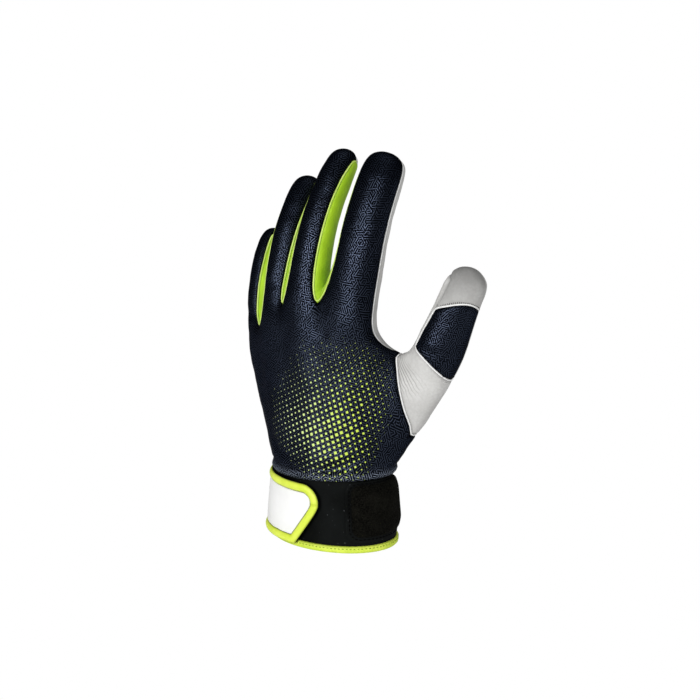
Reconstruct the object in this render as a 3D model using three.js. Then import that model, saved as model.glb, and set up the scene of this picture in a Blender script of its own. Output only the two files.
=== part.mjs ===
// Catcher's inner glove for the left hand, the padded glove worn inside the mitt. Millimetres and degrees.
// Fingers point up (+Z), the back of the hand faces -Y and the thumb is towards +X.
// A cage of four-sided faces is smoothed into the skin of the filled glove. Every sewn panel, pad and lining
// is a layer of that skin between two depths, and the wrist pieces are swept round the oval cuff.
import * as THREE from "three";

// Cloth, leather and foam
const backThickness = 1.0;
const leatherThickness = 1.0;
const fourchetteThickness = 0.8;
const padThickness = 4.0;
const fingerPadThickness = 3.0;
const liningThickness = 0.6;
const seamGap = 0.3;
const layerGap = 0.3;
const seamInset = 0.75 * seamGap; // each panel's edge stops this far from the seam line
const sharpestWedge = 0.3; // keeps the inset of a pointed corner short

// How far a section's corners reach towards the corners of its box, at the root of a digit and at a fingertip,
// where they draw together so that the gussets taper
const rootCorner = [0.76, 0.76];
const fingerTipCorner = [0.88, 0.5];

// How far the seams below and above the thumb's patch rise at the points round the thumb, from the middle of its
// back over the outer side to the palm and up the inner side
const patchSeamRise = [6.5, 5, 3, 0, 0, 0, 2, 5];
const capSeamRise = [3, 4, -5, -3, 0, 0, -2, -3.5];

// Digits: where the stall starts, which way it points, its spans from station to station, and its bend at each
// station. Width and depth run from the first station to the last, and the tip closes over the cap length.
// Slants tip the seams of a digit across it, and rises arch them. Heights of the hand are measured from the seam
// at the wrist.
const digits = {
  little: {
    start: [-48, 0, 61], splay: -12, tilt: 9, facing: -22, spans: [19, 19, 19, 11], bends: [3, 12, 14, 6],
    width: [18, 15], depth: [18, 15], cap: 6, tipCorner: fingerTipCorner,
  },
  ring: {
    start: [-33.5, -7, 82], splay: 2, tilt: 12, facing: 3, spans: [24, 22, 23, 12], bends: [2, 14, 16, 6],
    width: [21, 17.5], depth: [20, 16.5], cap: 6.5, tipCorner: fingerTipCorner,
  },
  middle: {
    start: [-12.5, -10, 91], splay: 5.4, tilt: 11, facing: 0, spans: [25, 25, 26, 14], bends: [2, 14, 15, 6],
    width: [23, 17.5], depth: [21, 16.5], cap: 7, tipCorner: fingerTipCorner,
  },
  index: {
    start: [19.5, -7, 91], splay: 6.5, tilt: 8, facing: 4, spans: [25, 23, 25, 15], bends: [0, 12, 12, 6],
    width: [27.5, 23.5], depth: [24, 20], cap: 6, tipCorner: fingerTipCorner,
  },
  thumb: {
    start: [62.5, 13, 65], splay: 23, tilt: 2, facing: 18, spans: [18, 19, 17], bends: [4, 8, 8],
    width: [28, 24], depth: [25, 19], cap: 10, slants: [-12, 4, 30, 0],
    rises: { 0: patchSeamRise, 2: capSeamRise },
  },
};
const fingerOrder = ["little", "ring", "middle", "index"];
const cageSwell = 1.1; // control points stand this much outside the smooth skin

// Hand between the wrist and the finger crotches: rows of the cage, and where the thumb grows out of its side
const rowShares = [0, 0.22, 0.48, 0.72, 0.87, 1];
const palmFullness = 6;
const crotchRise = 9; // the saddle between two fingers stands this far above the ends of its gusset
const padStart = 30; // the palm pad starts above this height
const thumbRoot = {
  1: { back: [54.5, 6.5, 25], side: [49, 14, 18], palm: [38, 26, 22] },
  2: { back: [49, 1, 48], palm: [44, 28, 46] },
  3: { back: [48.5, 6, 70], side: [44, 13, 64], palm: [36, 20, 63] },
};

// Cuff: an oval neoprene band that leans in a little towards the hand
const cuffHeight = 46;
const cuffThickness = 2.5;
const hemHalfWidth = 38.8;
const hemHalfDepth = 29;
const cuffTopHalfWidth = 34.5;
const cuffTopHalfDepth = 26;
const cuffOffset = 2.5; // the oval stands this much towards the thumb
const panelOverlap = 4; // how far the hand panels come down over the top of the cuff
const wristTilt = 4; // how much lower the panels end on the outer side than on the thumb side
const wristEase = 1.0; // slack of the panels over the cuff
const slitPlace = -70;
const slitWidth = 4;
const hemLegHeight = 4;
const hemThickness = 1;

// Closure: places round the wrist are distances from the middle of the back, positive towards the thumb
const tabTip = 11.8;
const tabRoot = -52;
const tabLow = 2.5;
const tabTopGap = 0.3; // between the tab and the lowest point of the panels
const tabCorner = 10.5;
const tabNose = 5; // radius of the tab's point under its upper corner
const tabSlant = 17; // how much shorter the lower edge of the tab is than the upper edge
const tabThickness = 1.0;
const tabBorder = 4.6;
const tabRimThickness = 0.9;
const badgeThickness = 0.6;
const rimSetback = 1.5; // the border starts this far from the tab's hinge
const webRoot = -88;
const webHeight = 25;
const webThickness = 1.2;
const anchorLength = 11;
const hingeGap = 0.4;
const tapeHeight = 21; // hook tape and loop tape alike
const tapeThickness = 0.6;
const hookStart = -22;
const landingStart = -42;
const tapeTipMargin = 11.5;
const patchStart = 27;
const patchEnd = 76;
const patchLow = 5.5;
const patchTopGap = 1.5; // between the patch and the panels
const patchCorner = 7;
const patchThickness = 1.4;
const placeStep = 4; // greatest distance between sections round the wrist

const wristHeight = cuffHeight - panelOverlap;
const aboveWrist = ([x, y, height]) => new THREE.Vector3(x, y, wristHeight + height);
const radians = THREE.MathUtils.degToRad;
const lerp = THREE.MathUtils.lerp;

// Wrist oval

const ovalSteps = 720;
const middleOfBack = -Math.PI / 2;

// Distance round the hem oval from the middle of the back, one entry for each step.
const ovalRun = (() => {
  const run = [0];
  const at = (i) => {
    const t = middleOfBack + (2 * Math.PI * i) / ovalSteps;
    return new THREE.Vector2(hemHalfWidth * Math.cos(t), hemHalfDepth * Math.sin(t));
  };
  for (let i = 1; i <= ovalSteps; i++) run.push(run[i - 1] + at(i).distanceTo(at(i - 1)));
  return run;
})();
const wristGirth = ovalRun[ovalSteps];

// Angle of the oval at a distance round the wrist.
function ovalAngle(place) {
  const wrapped = THREE.MathUtils.euclideanModulo(place, wristGirth);
  let i = 0;
  while (ovalRun[i + 1] < wrapped) i++;
  const share = (wrapped - ovalRun[i]) / (ovalRun[i + 1] - ovalRun[i]);
  return middleOfBack + (2 * Math.PI * (i + share)) / ovalSteps;
}

// Point at an angle of the oval, a height above the hem and a lift off the outer face of the cuff.
function cuffPoint(angle, z, lift) {
  const share = z / cuffHeight;
  const a = lerp(hemHalfWidth, cuffTopHalfWidth, share);
  const b = lerp(hemHalfDepth, cuffTopHalfDepth, share);
  const outward = new THREE.Vector2(Math.cos(angle) / a, Math.sin(angle) / b).normalize();
  const x = cuffOffset + a * Math.cos(angle) + lift * outward.x;
  return new THREE.Vector3(x, b * Math.sin(angle) + lift * outward.y, z);
}
const onCuff = (place, z, lift) => cuffPoint(ovalAngle(place), z, lift);

// Cage of the hand

const cage = { points: [], faces: [] };
const addPoint = (p) => cage.points.push(p) - 1;
const addFace = (corners, tag) => cage.faces.push({ corners, ...tag });
const ringOrder = ["D", "DR", "R", "PR", "P", "PU", "U", "DU"]; // dorsal, radial, palmar, ulnar

// Stations of a digit: the centre, the section's width and dorsal directions and its size.
function stations(digit) {
  const { spans, bends, width, depth } = digit;
  const tipCorner = digit.tipCorner ?? rootCorner;
  const [splay, tilt, facing] = [digit.splay, digit.tilt, digit.facing].map(radians);
  const along = new THREE.Vector3(Math.sin(splay), Math.sin(tilt), 1).normalize();
  const dorsal = new THREE.Vector3(Math.sin(facing), -Math.cos(facing), 0);
  dorsal.addScaledVector(along, -dorsal.dot(along)).normalize();
  const across = new THREE.Vector3().crossVectors(along, dorsal);
  const centre = aboveWrist(digit.start);
  const made = [];
  const put = (halfBend, k) => {
    const share = k / spans.length;
    const up = dorsal.clone().applyAxisAngle(across, halfBend);
    made.push({
      centre: centre.clone(),
      along: along.clone(),
      dorsal: up,
      across: across.clone().applyAxisAngle(up, radians(digit.slants?.[k] ?? 0)),
      halfWidth: (cageSwell * lerp(width[0], width[1], share)) / 2,
      halfDepth: (cageSwell * lerp(depth[0], depth[1], share)) / 2,
      corner: rootCorner.map((reach, i) => lerp(reach, tipCorner[i], share)),
      rises: digit.rises?.[k] ?? ringOrder.map(() => 0),
    });
  };
  put(0, 0);
  spans.forEach((span, k) => {
    centre.addScaledVector(along, span);
    const bend = -radians(bends[k]);
    put(bend / 2, k + 1);
    along.applyAxisAngle(across, bend);
    dorsal.applyAxisAngle(across, bend);
  });
  return { made, apex: centre.addScaledVector(along, digit.cap) };
}

// The eight points of a section, in ring order.
function section(station) {
  const [a, b] = station.corner;
  const shares = [[0, 1], [a, b], [1, 0], [a, -b], [0, -1], [-a, -b], [-1, 0], [-a, b]];
  return shares.map(([w, d], i) =>
    station.centre.clone()
      .addScaledVector(station.along, station.rises[i])
      .addScaledVector(station.across, w * station.halfWidth)
      .addScaledVector(station.dorsal, d * station.halfDepth));
}

// Joins a ring of cage points to the sections of a digit and closes the tip with four faces.
function addDigit(name, firstRing, sections, apex) {
  let ring = firstRing;
  sections.forEach((points, row) => {
    const next = points.map(addPoint);
    ring.forEach((low, i) => {
      const j = (i + 1) % ring.length;
      addFace([low, ring[j], next[j], next[i]], { part: name, row, side: ringOrder[i] + "-" + ringOrder[j] });
    });
    ring = next;
  });
  const tip = addPoint(apex);
  for (let i = 0; i < ring.length; i += 2) {
    const corners = [ring[i], ring[i + 1], ring[(i + 2) % ring.length], tip];
    addFace(corners, { part: name, row: sections.length, side: ringOrder[i] + "-tip" });
  }
}

// Lines that run up the hand: over the back from the little finger to the index, up the thumb side, over the
// palm from the index to the little finger, and up the outer side.
const fingerLineCount = 2; // up the middle of a finger and between it and the next
const backOuter = 0;
const backInner = backOuter + fingerLineCount * fingerOrder.length;
const thumbSide = backInner + 1;
const palmInner = thumbSide + 1;
const palmOuter = palmInner + fingerLineCount * fingerOrder.length;
const outerSide = palmOuter + 1;
const lineCount = outerSide + 1;
const lineAngle = (line) => 2 * Math.PI * ((line + 1) / lineCount - 0.5);
const fingerLine = (f, side) => {
  const back = { DU: backOuter, D: backOuter + 1, DR: backOuter + 2 };
  const palm = { PU: palmOuter, P: palmOuter - 1, PR: palmOuter - 2 };
  return side in back ? back[side] + fingerLineCount * f : palm[side] - fingerLineCount * f;
};

const fingerStations = fingerOrder.map((name) => stations(digits[name]));
const rootSections = fingerStations.map(({ made }) => section(made[0]));
const rootPoint = (f, side) => rootSections[f][ringOrder.indexOf(side)];
const between = (a, b) => a.clone().lerp(b, 0.5);

// Points of the crotch row: each crotch is shared by the two fingers beside it.
const crotchRow = new Array(lineCount);
const crotchMiddles = [];
fingerOrder.forEach((name, f) => {
  crotchRow[fingerLine(f, "D")] = rootPoint(f, "D");
  crotchRow[fingerLine(f, "P")] = rootPoint(f, "P");
  if (f === 0) return;
  crotchRow[fingerLine(f, "DU")] = between(rootPoint(f, "DU"), rootPoint(f - 1, "DR"));
  crotchRow[fingerLine(f, "PU")] = between(rootPoint(f, "PU"), rootPoint(f - 1, "PR"));
  const saddle = between(rootPoint(f, "U"), rootPoint(f - 1, "R"));
  crotchMiddles.push(saddle.setZ(saddle.z + crotchRise));
});
const lastFinger = fingerOrder.length - 1;
crotchRow[backOuter] = rootPoint(0, "DU");
crotchRow[palmOuter] = rootPoint(0, "PU");
crotchRow[outerSide] = rootPoint(0, "U");
crotchRow[backInner] = rootPoint(lastFinger, "DR");
crotchRow[thumbSide] = rootPoint(lastFinger, "R");
crotchRow[palmInner] = rootPoint(lastFinger, "PR");

// Rows of the hand from the wrist to the crotches. The thumb's root replaces the points on its side, and its
// ring goes round the four faces that it grows out of.
const wristLift = Math.max(backThickness, leatherThickness) + layerGap + wristEase;
const isPalm = (line) => line > palmInner && line < palmOuter;
const rootName = { [backInner]: "back", [thumbSide]: "side", [palmInner]: "palm" };
function rowPoint(row, line) {
  const root = thumbRoot[row]?.[rootName[line]];
  if (root) return aboveWrist(root);
  const drop = (wristTilt * (1 - Math.cos(lineAngle(line)))) / 2;
  const share = rowShares[row];
  const point = cuffPoint(lineAngle(line), wristHeight - drop, wristLift).lerp(crotchRow[line], share);
  if (isPalm(line)) point.y += palmFullness * Math.sin(Math.PI * share);
  return point;
}
const lines = crotchRow.map((_, line) => line);
const [rootLow, rootMiddle, rootHigh] = Object.keys(thumbRoot).map(Number);
const isRootCentre = (row, line) => row === rootMiddle && line === thumbSide;
const rows = rowShares.map((_, row) =>
  lines.map((line) => (isRootCentre(row, line) ? null : addPoint(rowPoint(row, line)))));
const rootLines = [backInner, thumbSide];
const isThumbRoot = (row, line) => row >= rootLow && row < rootHigh && rootLines.includes(line);
rows.slice(1).forEach((upper, row) => {
  lines.filter((line) => !isThumbRoot(row, line)).forEach((line) => {
    const next = (line + 1) % lineCount;
    const lower = rows[row];
    addFace([lower[line], lower[next], upper[next], upper[line]], { part: "hand", row, line });
  });
});

const crotches = rows[rows.length - 1];
const crotchMiddleIndex = crotchMiddles.map(addPoint);
const sidePoint = (f, side) => {
  if (side === "R") return f === lastFinger ? crotches[thumbSide] : crotchMiddleIndex[f];
  return f === 0 ? crotches[outerSide] : crotchMiddleIndex[f - 1];
};
fingerOrder.forEach((name, f) => {
  const isSide = (side) => side === "R" || side === "U";
  const ring = ringOrder.map((side) => (isSide(side) ? sidePoint(f, side) : crotches[fingerLine(f, side)]));
  const { made, apex } = fingerStations[f];
  addDigit(name, ring, made.slice(1).map(section), apex);
});
const thumb = stations(digits.thumb);
const thumbRing = [
  [rootMiddle, backInner], [rootLow, backInner], [rootLow, thumbSide], [rootLow, palmInner],
  [rootMiddle, palmInner], [rootHigh, palmInner], [rootHigh, thumbSide], [rootHigh, backInner],
].map(([row, line]) => rows[row][line]);
addDigit("thumb", thumbRing, thumb.made.map(section), thumb.apex);

// Smoothing

const edgeKey = (a, b) => (a < b ? a + "_" + b : b + "_" + a);
const total = (points) => points.reduce((sum, p) => sum.add(p), new THREE.Vector3());
const mean = (points) => total(points).divideScalar(points.length);

// Faces and far ends round each edge and each point of a mesh.
function neighbours(mesh) {
  const edges = new Map();
  const around = mesh.points.map(() => ({ faces: [], edges: [] }));
  mesh.faces.forEach((face, f) => {
    face.corners.forEach((a, i) => {
      const b = face.corners[(i + 1) % face.corners.length];
      const key = edgeKey(a, b);
      if (!edges.has(key)) {
        edges.set(key, { ends: [a, b], faces: [] });
        around[a].edges.push(key);
        around[b].edges.push(key);
      }
      edges.get(key).faces.push(f);
      around[a].faces.push(f);
    });
  });
  return { edges, around };
}
const otherEnd = (edge, point) => (edge.ends[0] === point ? edge.ends[1] : edge.ends[0]);
const rimMean = (rim, point, at) => mean(rim.map((edge) => at(otherEnd(edge, point))));

// One round of Catmull-Clark smoothing. The open edge at the wrist keeps its own curve.
function subdivide(mesh) {
  const { edges, around } = neighbours(mesh);
  const at = (i) => mesh.points[i];
  const facePoints = mesh.faces.map((face) => mean(face.corners.map(at)));
  const moved = mesh.points.map((p, i) => {
    const rim = around[i].edges.map((k) => edges.get(k)).filter((e) => e.faces.length === 1);
    if (rim.length) return rimMean(rim, i, at).lerp(p, 3 / 4);
    const n = around[i].faces.length;
    const faceMean = mean(around[i].faces.map((f) => facePoints[f]));
    const edgeMean = mean(around[i].edges.map((k) => mean(edges.get(k).ends.map(at))));
    return faceMean.addScaledVector(edgeMean, 2).addScaledVector(p, n - 3).divideScalar(n);
  });
  const points = [...moved, ...facePoints];
  const edgeIndex = new Map();
  for (const [key, edge] of edges) {
    const ends = edge.ends.map(at);
    const beside = edge.faces.length === 1 ? [] : edge.faces.map((f) => facePoints[f]);
    edgeIndex.set(key, points.push(mean([...ends, ...beside])) - 1);
  }
  const faces = [];
  mesh.faces.forEach((face, f) => {
    const n = face.corners.length;
    face.corners.forEach((a, i) => {
      const forward = edgeIndex.get(edgeKey(a, face.corners[(i + 1) % n]));
      const backward = edgeIndex.get(edgeKey(a, face.corners[(i + n - 1) % n]));
      faces.push({ ...face, corners: [a, forward, moved.length + f, backward] });
    });
  });
  return { points, faces };
}

// Moves each point to where endless smoothing would take it.
function settle(mesh) {
  const { edges, around } = neighbours(mesh);
  const at = (i) => mesh.points[i];
  return {
    faces: mesh.faces,
    points: mesh.points.map((p, i) => {
      const mine = around[i].edges.map((k) => edges.get(k));
      const rim = mine.filter((e) => e.faces.length === 1);
      if (rim.length) return rimMean(rim, i, at).lerp(p, 2 / 3);
      const n = mine.length;
      const sum = p.clone().multiplyScalar(n * n);
      mine.forEach((e) => sum.addScaledVector(at(otherEnd(e, i)), 4));
      around[i].faces.forEach((f) => {
        const corners = mesh.faces[f].corners;
        sum.add(at(corners[(corners.indexOf(i) + 2) % corners.length]));
      });
      return sum.divideScalar(n * (n + 5));
    }),
  };
}

const skin = settle(subdivide(cage));
const faceCentres = skin.faces.map((face) => mean(face.corners.map((i) => skin.points[i])));
const skinNormals = skin.points.map(() => new THREE.Vector3());
skin.faces.forEach(({ corners }) => {
  const [a, b, c, d] = corners.map((i) => skin.points[i]);
  const normal = new THREE.Vector3().crossVectors(c.clone().sub(a), d.clone().sub(b));
  corners.forEach((i) => skinNormals[i].add(normal));
});
skinNormals.forEach((n) => n.normalize());

// Solids

// A closed solid from points and triangles that all turn the same way, faced outward.
function solid(points, triangles) {
  const inside = triangles.reduce((sum, [a, b, c]) =>
    sum + points[a].dot(new THREE.Vector3().crossVectors(points[b], points[c])), 0);
  const geometry = new THREE.BufferGeometry().setFromPoints(points);
  geometry.setIndex(triangles.flatMap(([a, b, c]) => (inside > 0 ? [a, b, c] : [a, c, b])));
  geometry.computeVertexNormals();
  return geometry;
}

// Angle of a face at one of its corners.
function cornerAngle(corners, i) {
  const k = corners.indexOf(i);
  const sideTo = (j) => skin.points[corners[j % 4]].clone().sub(skin.points[i]);
  return sideTo(k + 3).angleTo(sideTo(k + 1));
}

// The chosen faces of the skin as one closed layer between two depths, with its edge drawn in from the seam.
function layer(chosen, outerDepth, innerDepth) {
  const picked = skin.faces.map((face, f) => f).filter((f) => chosen(skin.faces[f]));
  const used = new Map();
  const rim = new Map();
  picked.forEach((f) => {
    const { corners } = skin.faces[f];
    corners.forEach((a, i) => {
      if (!used.has(a)) used.set(a, []);
      used.get(a).push(f);
      const b = corners[(i + 1) % corners.length];
      if (!rim.delete(b + "_" + a)) rim.set(a + "_" + b, [a, b]);
    });
  });
  const onRim = new Set([...rim.values()].flat());
  const points = [];
  const place = new Map();
  for (const [i, faces] of used) {
    const normal = skinNormals[i];
    const base = skin.points[i].clone();
    if (onRim.has(i)) {
      const inward = mean(faces.map((f) => faceCentres[f].clone().sub(base).normalize()));
      inward.addScaledVector(normal, -inward.dot(normal)).normalize();
      const wedge = faces.reduce((sum, f) => sum + cornerAngle(skin.faces[f].corners, i), 0);
      base.addScaledVector(inward, seamInset / Math.max(sharpestWedge, Math.sin(wedge / 2)));
    }
    const depths = [outerDepth, innerDepth].map((d) => (typeof d === "function" ? d(i) : d));
    place.set(i, depths.map((d) => points.push(base.clone().addScaledVector(normal, -d)) - 1));
  }
  const triangles = [];
  const quad = (a, b, c, d) => triangles.push([a, b, c], [a, c, d]);
  picked.forEach((f) => {
    const [a, b, c, d] = skin.faces[f].corners.map((i) => place.get(i));
    quad(a[0], b[0], c[0], d[0]);
    triangles.push([a[1], c[1], b[1]], [a[1], d[1], c[1]]);
  });
  for (const [a, b] of rim.values()) {
    const [low, high] = [place.get(a), place.get(b)];
    quad(low[0], low[1], high[1], high[0]);
  }
  return solid(points, triangles);
}

// A closed solid through rings of as many points each. The ends are filled with the given triangles.
function sweep(rings, endTriangles) {
  const n = rings[0].length;
  const last = (rings.length - 1) * n;
  const triangles = [];
  for (let k = 0; k < last; k += n) {
    for (let i = 0; i < n; i++) {
      const j = (i + 1) % n;
      triangles.push([k + i, k + j, k + n + j], [k + i, k + n + j, k + n + i]);
    }
  }
  endTriangles.forEach(([a, b, c]) => triangles.push([c, b, a], [last + a, last + b, last + c]));
  return solid(rings.flat(), triangles);
}

// Places round the wrist from one to another, closer together where the ends are rounded.
function placesBetween(from, to, startCorner = 0, endCorner = 0) {
  const rounded = (corner) => (corner ? [0, 0.15, 0.35, 0.65].map((share) => share * corner) : []);
  const [first, last] = [from + startCorner, to - endCorner];
  const steps = Math.ceil((last - first) / placeStep);
  const straight = Array.from({ length: steps + 1 }, (_, k) => lerp(first, last, k / steps));
  const leadIn = rounded(startCorner).map((d) => from + d);
  const leadOut = rounded(endCorner).map((d) => to - d).reverse();
  return [...leadIn, ...straight, ...leadOut];
}

// A profile of [height, lift] points, anticlockwise, wrapped round the cuff at the given places.
function wrapped(places, profileAt) {
  const profiles = places.map(profileAt);
  const flat = profiles[0].map(([z, lift]) => new THREE.Vector2(z, lift));
  const rings = places.map((place, k) => profiles[k].map(([z, lift]) => onCuff(place, z, lift)));
  return sweep(rings, THREE.ShapeUtils.triangulateShape(flat, []));
}
const slab = ([low, high], under, over) => [[low, under], [high, under], [high, over], [low, over]];

// Lower and upper edge of a strip with rounded corners.
const roundedEdges = (from, to, low, high, corner) => (place) => {
  const u = Math.max(0, 1 - Math.min(place - from, to - place) / corner);
  const cut = corner * (1 - Math.sqrt(1 - u * u));
  return [low + cut, high - cut];
};

// Pieces

const glove = new THREE.Group();
const hand = new THREE.Group();
const wrist = new THREE.Group();
const strap = new THREE.Group();
glove.add(hand, wrist, strap);

const navy = { color: 0x161d2e, roughness: 0.75 };
const leather = { color: 0xd2d1cd, roughness: 0.6 };
const lime = { color: 0x8cb81c, roughness: 0.7 };
const brightLime = { color: 0xd8ea48, roughness: 0.6 };
const neoprene = { color: 0x141617, roughness: 0.7 };
const pile = { color: 0x0d0d0c, roughness: 0.95 };
const elastic = { color: 0x1a1b1c, roughness: 0.8 };
const foam = { color: 0xe07b1f, roughness: 0.8 };
const tricot = { color: 0x2a2c30, roughness: 0.8 };
const white = { color: 0xf4f4f2, roughness: 0.45 };

function add(group, name, geometry, finish) {
  const mesh = new THREE.Mesh(geometry, new THREE.MeshStandardMaterial({ ...finish, metalness: 0 }));
  mesh.name = name;
  group.add(mesh);
}

const isFinger = (face) => fingerOrder.includes(face.part);
const dorsalSides = ["D-DR", "DU-D", "D-tip", "U-tip"];
const isBackLine = (line) => line <= backInner || line === outerSide;
const isHeel = (face) => face.row < rootLow && face.line <= palmInner; // below the thumb the back wraps round
const isBackOfHand = (face) => face.part === "hand" && (isBackLine(face.line) || isHeel(face));
const isBackOfFinger = (face) => isFinger(face) && (dorsalSides.includes(face.side)
  || (face.part === "index" && face.side === "DR-R")
  || (face.part === "little" && face.side === "U-DU"));
const isGusset = (face, f) => (face.part === fingerOrder[f] && ["DR-R", "R-PR"].includes(face.side))
  || (face.part === fingerOrder[f + 1] && ["PU-U", "U-DU"].includes(face.side));
const isAnyGusset = (face) => [0, 1, 2].some((f) => isGusset(face, f));
const isBack = (face) => isBackOfHand(face) || isBackOfFinger(face);
const isPalmSide = (face) => face.part !== "thumb" && !isBack(face) && !isAnyGusset(face);
const thumbBackSides = [...dorsalSides, "DR-R"];
const isThumbBack = (face) => face.part === "thumb" && face.row > 0 && thumbBackSides.includes(face.side);
const isThumbTip = (face) => isThumbBack(face) && face.row > 2;
const isThumbPatch = (face) => isThumbBack(face) && face.row <= 2;
const isThumbLeather = (face) => face.part === "thumb" && !isThumbBack(face);

add(hand, "back_panel", layer(isBack, 0, backThickness), navy);
add(hand, "palm_panel", layer(isPalmSide, 0, leatherThickness), leather);
fingerOrder.slice(0, -1).forEach((name, f) => {
  const gussetName = "fourchette_" + fingerOrder[f + 1] + "_" + name;
  add(hand, gussetName, layer((face) => isGusset(face, f), 0, fourchetteThickness), lime);
});
add(hand, "thumb_panel", layer(isThumbLeather, 0, leatherThickness), leather);
add(hand, "thumb_knuckle_patch", layer(isThumbPatch, 0, backThickness), navy);
add(hand, "thumb_tip_cap", layer(isThumbTip, 0, leatherThickness), leather);

// Impact pads lie behind the leather, and a lining sewn down round its edge holds the palm pad in place.
const padTop = leatherThickness + layerGap;
const isLining = (face) => face.part === "hand" && face.line >= palmInner && face.line < palmOuter
  && face.row >= rootLow;
const faceHeight = (face) => mean(face.corners.map((i) => skin.points[i])).z;
const isMidPalm = (face) => isPalm(face.line) && isPalm(face.line + 1) && face.row <= rootHigh;
const isPalmPad = (face) => isLining(face) && isMidPalm(face) && faceHeight(face) > wristHeight + padStart;
const isIndexPad = (face) => face.part === "index" && ["PR-P", "P-PU"].includes(face.side) && face.row <= 1;
const isThumbPad = (face) => face.part === "thumb" && ["PR-P", "P-PU"].includes(face.side) && face.row <= 1;
const padPoints = new Set(skin.faces.filter(isPalmPad).flatMap((face) => face.corners));
const overPad = (depth) => (i) => (padPoints.has(i) ? padTop + padThickness + layerGap : padTop) + depth;

add(hand, "palm_pad", layer(isPalmPad, padTop, padTop + padThickness), foam);
add(hand, "index_pad", layer(isIndexPad, padTop, padTop + fingerPadThickness), foam);
add(hand, "thumb_pad", layer(isThumbPad, padTop, padTop + fingerPadThickness), foam);
add(hand, "palm_lining", layer(isLining, overPad(0), overPad(liningThickness)), tricot);

// Cuff band, open at a slit under the strap, with a bound hem.
const slitStart = slitPlace + slitWidth / 2;
const slitEnd = slitPlace - slitWidth / 2 + wristGirth;
const hemLift = layerGap + hemThickness;
const bandLow = hemThickness + layerGap;
const hemInside = -cuffThickness - hemLift;
const hemProfile = [
  [0, hemInside], [hemLegHeight, hemInside], [hemLegHeight, -cuffThickness - layerGap],
  [hemThickness, -cuffThickness - layerGap], [hemThickness, layerGap], [hemLegHeight, layerGap],
  [hemLegHeight, hemLift], [0, hemLift],
];
const bandPlaces = placesBetween(slitStart, slitEnd);
add(wrist, "cuff_band", wrapped(bandPlaces, () => slab([bandLow, cuffHeight], -cuffThickness, 0)), neoprene);
add(wrist, "hem_binding", wrapped(bandPlaces, () => hemProfile), brightLime);

// Loop pile on the cuff: a landing under the tab and a patch on the thumb side.
const tabHigh = wristHeight - wristTilt - tabTopGap;
const tabMiddle = (tabLow + tabHigh) / 2;
const tapeEdges = [tabMiddle - tapeHeight / 2, tabMiddle + tapeHeight / 2];
const tapeEnd = tabTip - tapeTipMargin;
const tapeTop = layerGap + tapeThickness;
const landingPlaces = placesBetween(landingStart, tapeEnd);
add(wrist, "loop_landing", wrapped(landingPlaces, () => slab(tapeEdges, layerGap, tapeTop)), pile);
const patchPlaces = placesBetween(patchStart, patchEnd, patchCorner, patchCorner);
const patchEdges = roundedEdges(patchStart, patchEnd, patchLow, wristHeight - patchTopGap, patchCorner);
const patchTop = layerGap + patchThickness;
add(wrist, "loop_patch", wrapped(patchPlaces, (p) => slab(patchEdges(p), layerGap, patchTop)), pile);

// Strap: the elastic rises from its anchor to the back of the tab.
const strapLift = 2 * (layerGap + tapeThickness) + layerGap;
const webEnd = tabRoot - hingeGap / 2;
const webStart = webRoot + hingeGap / 2;
const webEdges = [tabMiddle - webHeight / 2, tabMiddle + webHeight / 2];
const webLift = (place) => lerp(layerGap, strapLift, (place - webStart) / (webEnd - webStart));
const webProfile = (place) => slab(webEdges, webLift(place), webLift(place) + webThickness);
const anchorEnd = webRoot - hingeGap / 2;
const anchorPlaces = placesBetween(anchorEnd - anchorLength, anchorEnd);
const anchorProfile = slab(webEdges, layerGap, layerGap + webThickness);
add(wrist, "strap_anchor", wrapped(anchorPlaces, () => anchorProfile), neoprene);
add(strap, "strap_web", wrapped(placesBetween(webStart, webEnd), webProfile), elastic);

// Outline of the tab drawn in by an inset: a rounded upper corner, then a rounded point and a slanted end.
const tabSlope = (tabHigh - tabCorner - tabLow) / tabSlant;
function tabShape(inset) {
  const nose = tabNose - inset * tabSlope * (Math.hypot(1, tabSlope) - tabSlope);
  return { tip: tabTip - inset, corner: tabCorner - inset, low: tabLow + inset, high: tabHigh - inset, nose };
}
const tabEdges = ({ tip, corner, low, high, nose }) => (place) => {
  const back = Math.max(0, tip - place);
  const u = Math.max(0, 1 - back / corner);
  const drop = Math.hypot(tabSlope * back, Math.sqrt(2 * nose * back));
  return [Math.max(low, high - corner - drop), high - corner * (1 - Math.sqrt(1 - u * u))];
};
const tabStart = tabRoot + hingeGap / 2;
const tipEnd = 0.05; // the blunt end of the tab's point
const tabPlaces = (from, shape) => placesBetween(from, shape.tip - tipEnd, 0, shape.corner);

// Points of the outline from the root along the top, round the point and back along the bottom.
function tabOutline(from, shape) {
  const places = tabPlaces(from, shape);
  const edges = tabEdges(shape);
  return [...places.map((p) => [p, edges(p)[1]]), ...places.reverse().map((p) => [p, edges(p)[0]])];
}
const tabTop = strapLift + tabThickness;
const backing = tabShape(0);
const backingProfile = (place) => slab(tabEdges(backing)(place), strapLift, tabTop);
add(strap, "tab_backing", wrapped(tabPlaces(tabStart, backing), backingProfile), neoprene);
const rimUnder = tabTop + layerGap;
const rimOver = rimUnder + tabRimThickness;
const rimStart = tabStart + rimSetback;
const badge = tabShape(tabBorder + seamGap);
const badgeStart = rimStart + tabBorder + seamGap;
const badgeProfile = (place) => slab(tabEdges(badge)(place), rimUnder, rimUnder + badgeThickness);
add(strap, "tab_badge", wrapped(tabPlaces(badgeStart, badge), badgeProfile), white);
const hookLift = tapeTop + layerGap;
const hookProfile = slab(tapeEdges, hookLift, hookLift + tapeThickness);
add(strap, "hook_pad", wrapped(placesBetween(hookStart, tapeEnd), () => hookProfile), pile);

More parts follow.
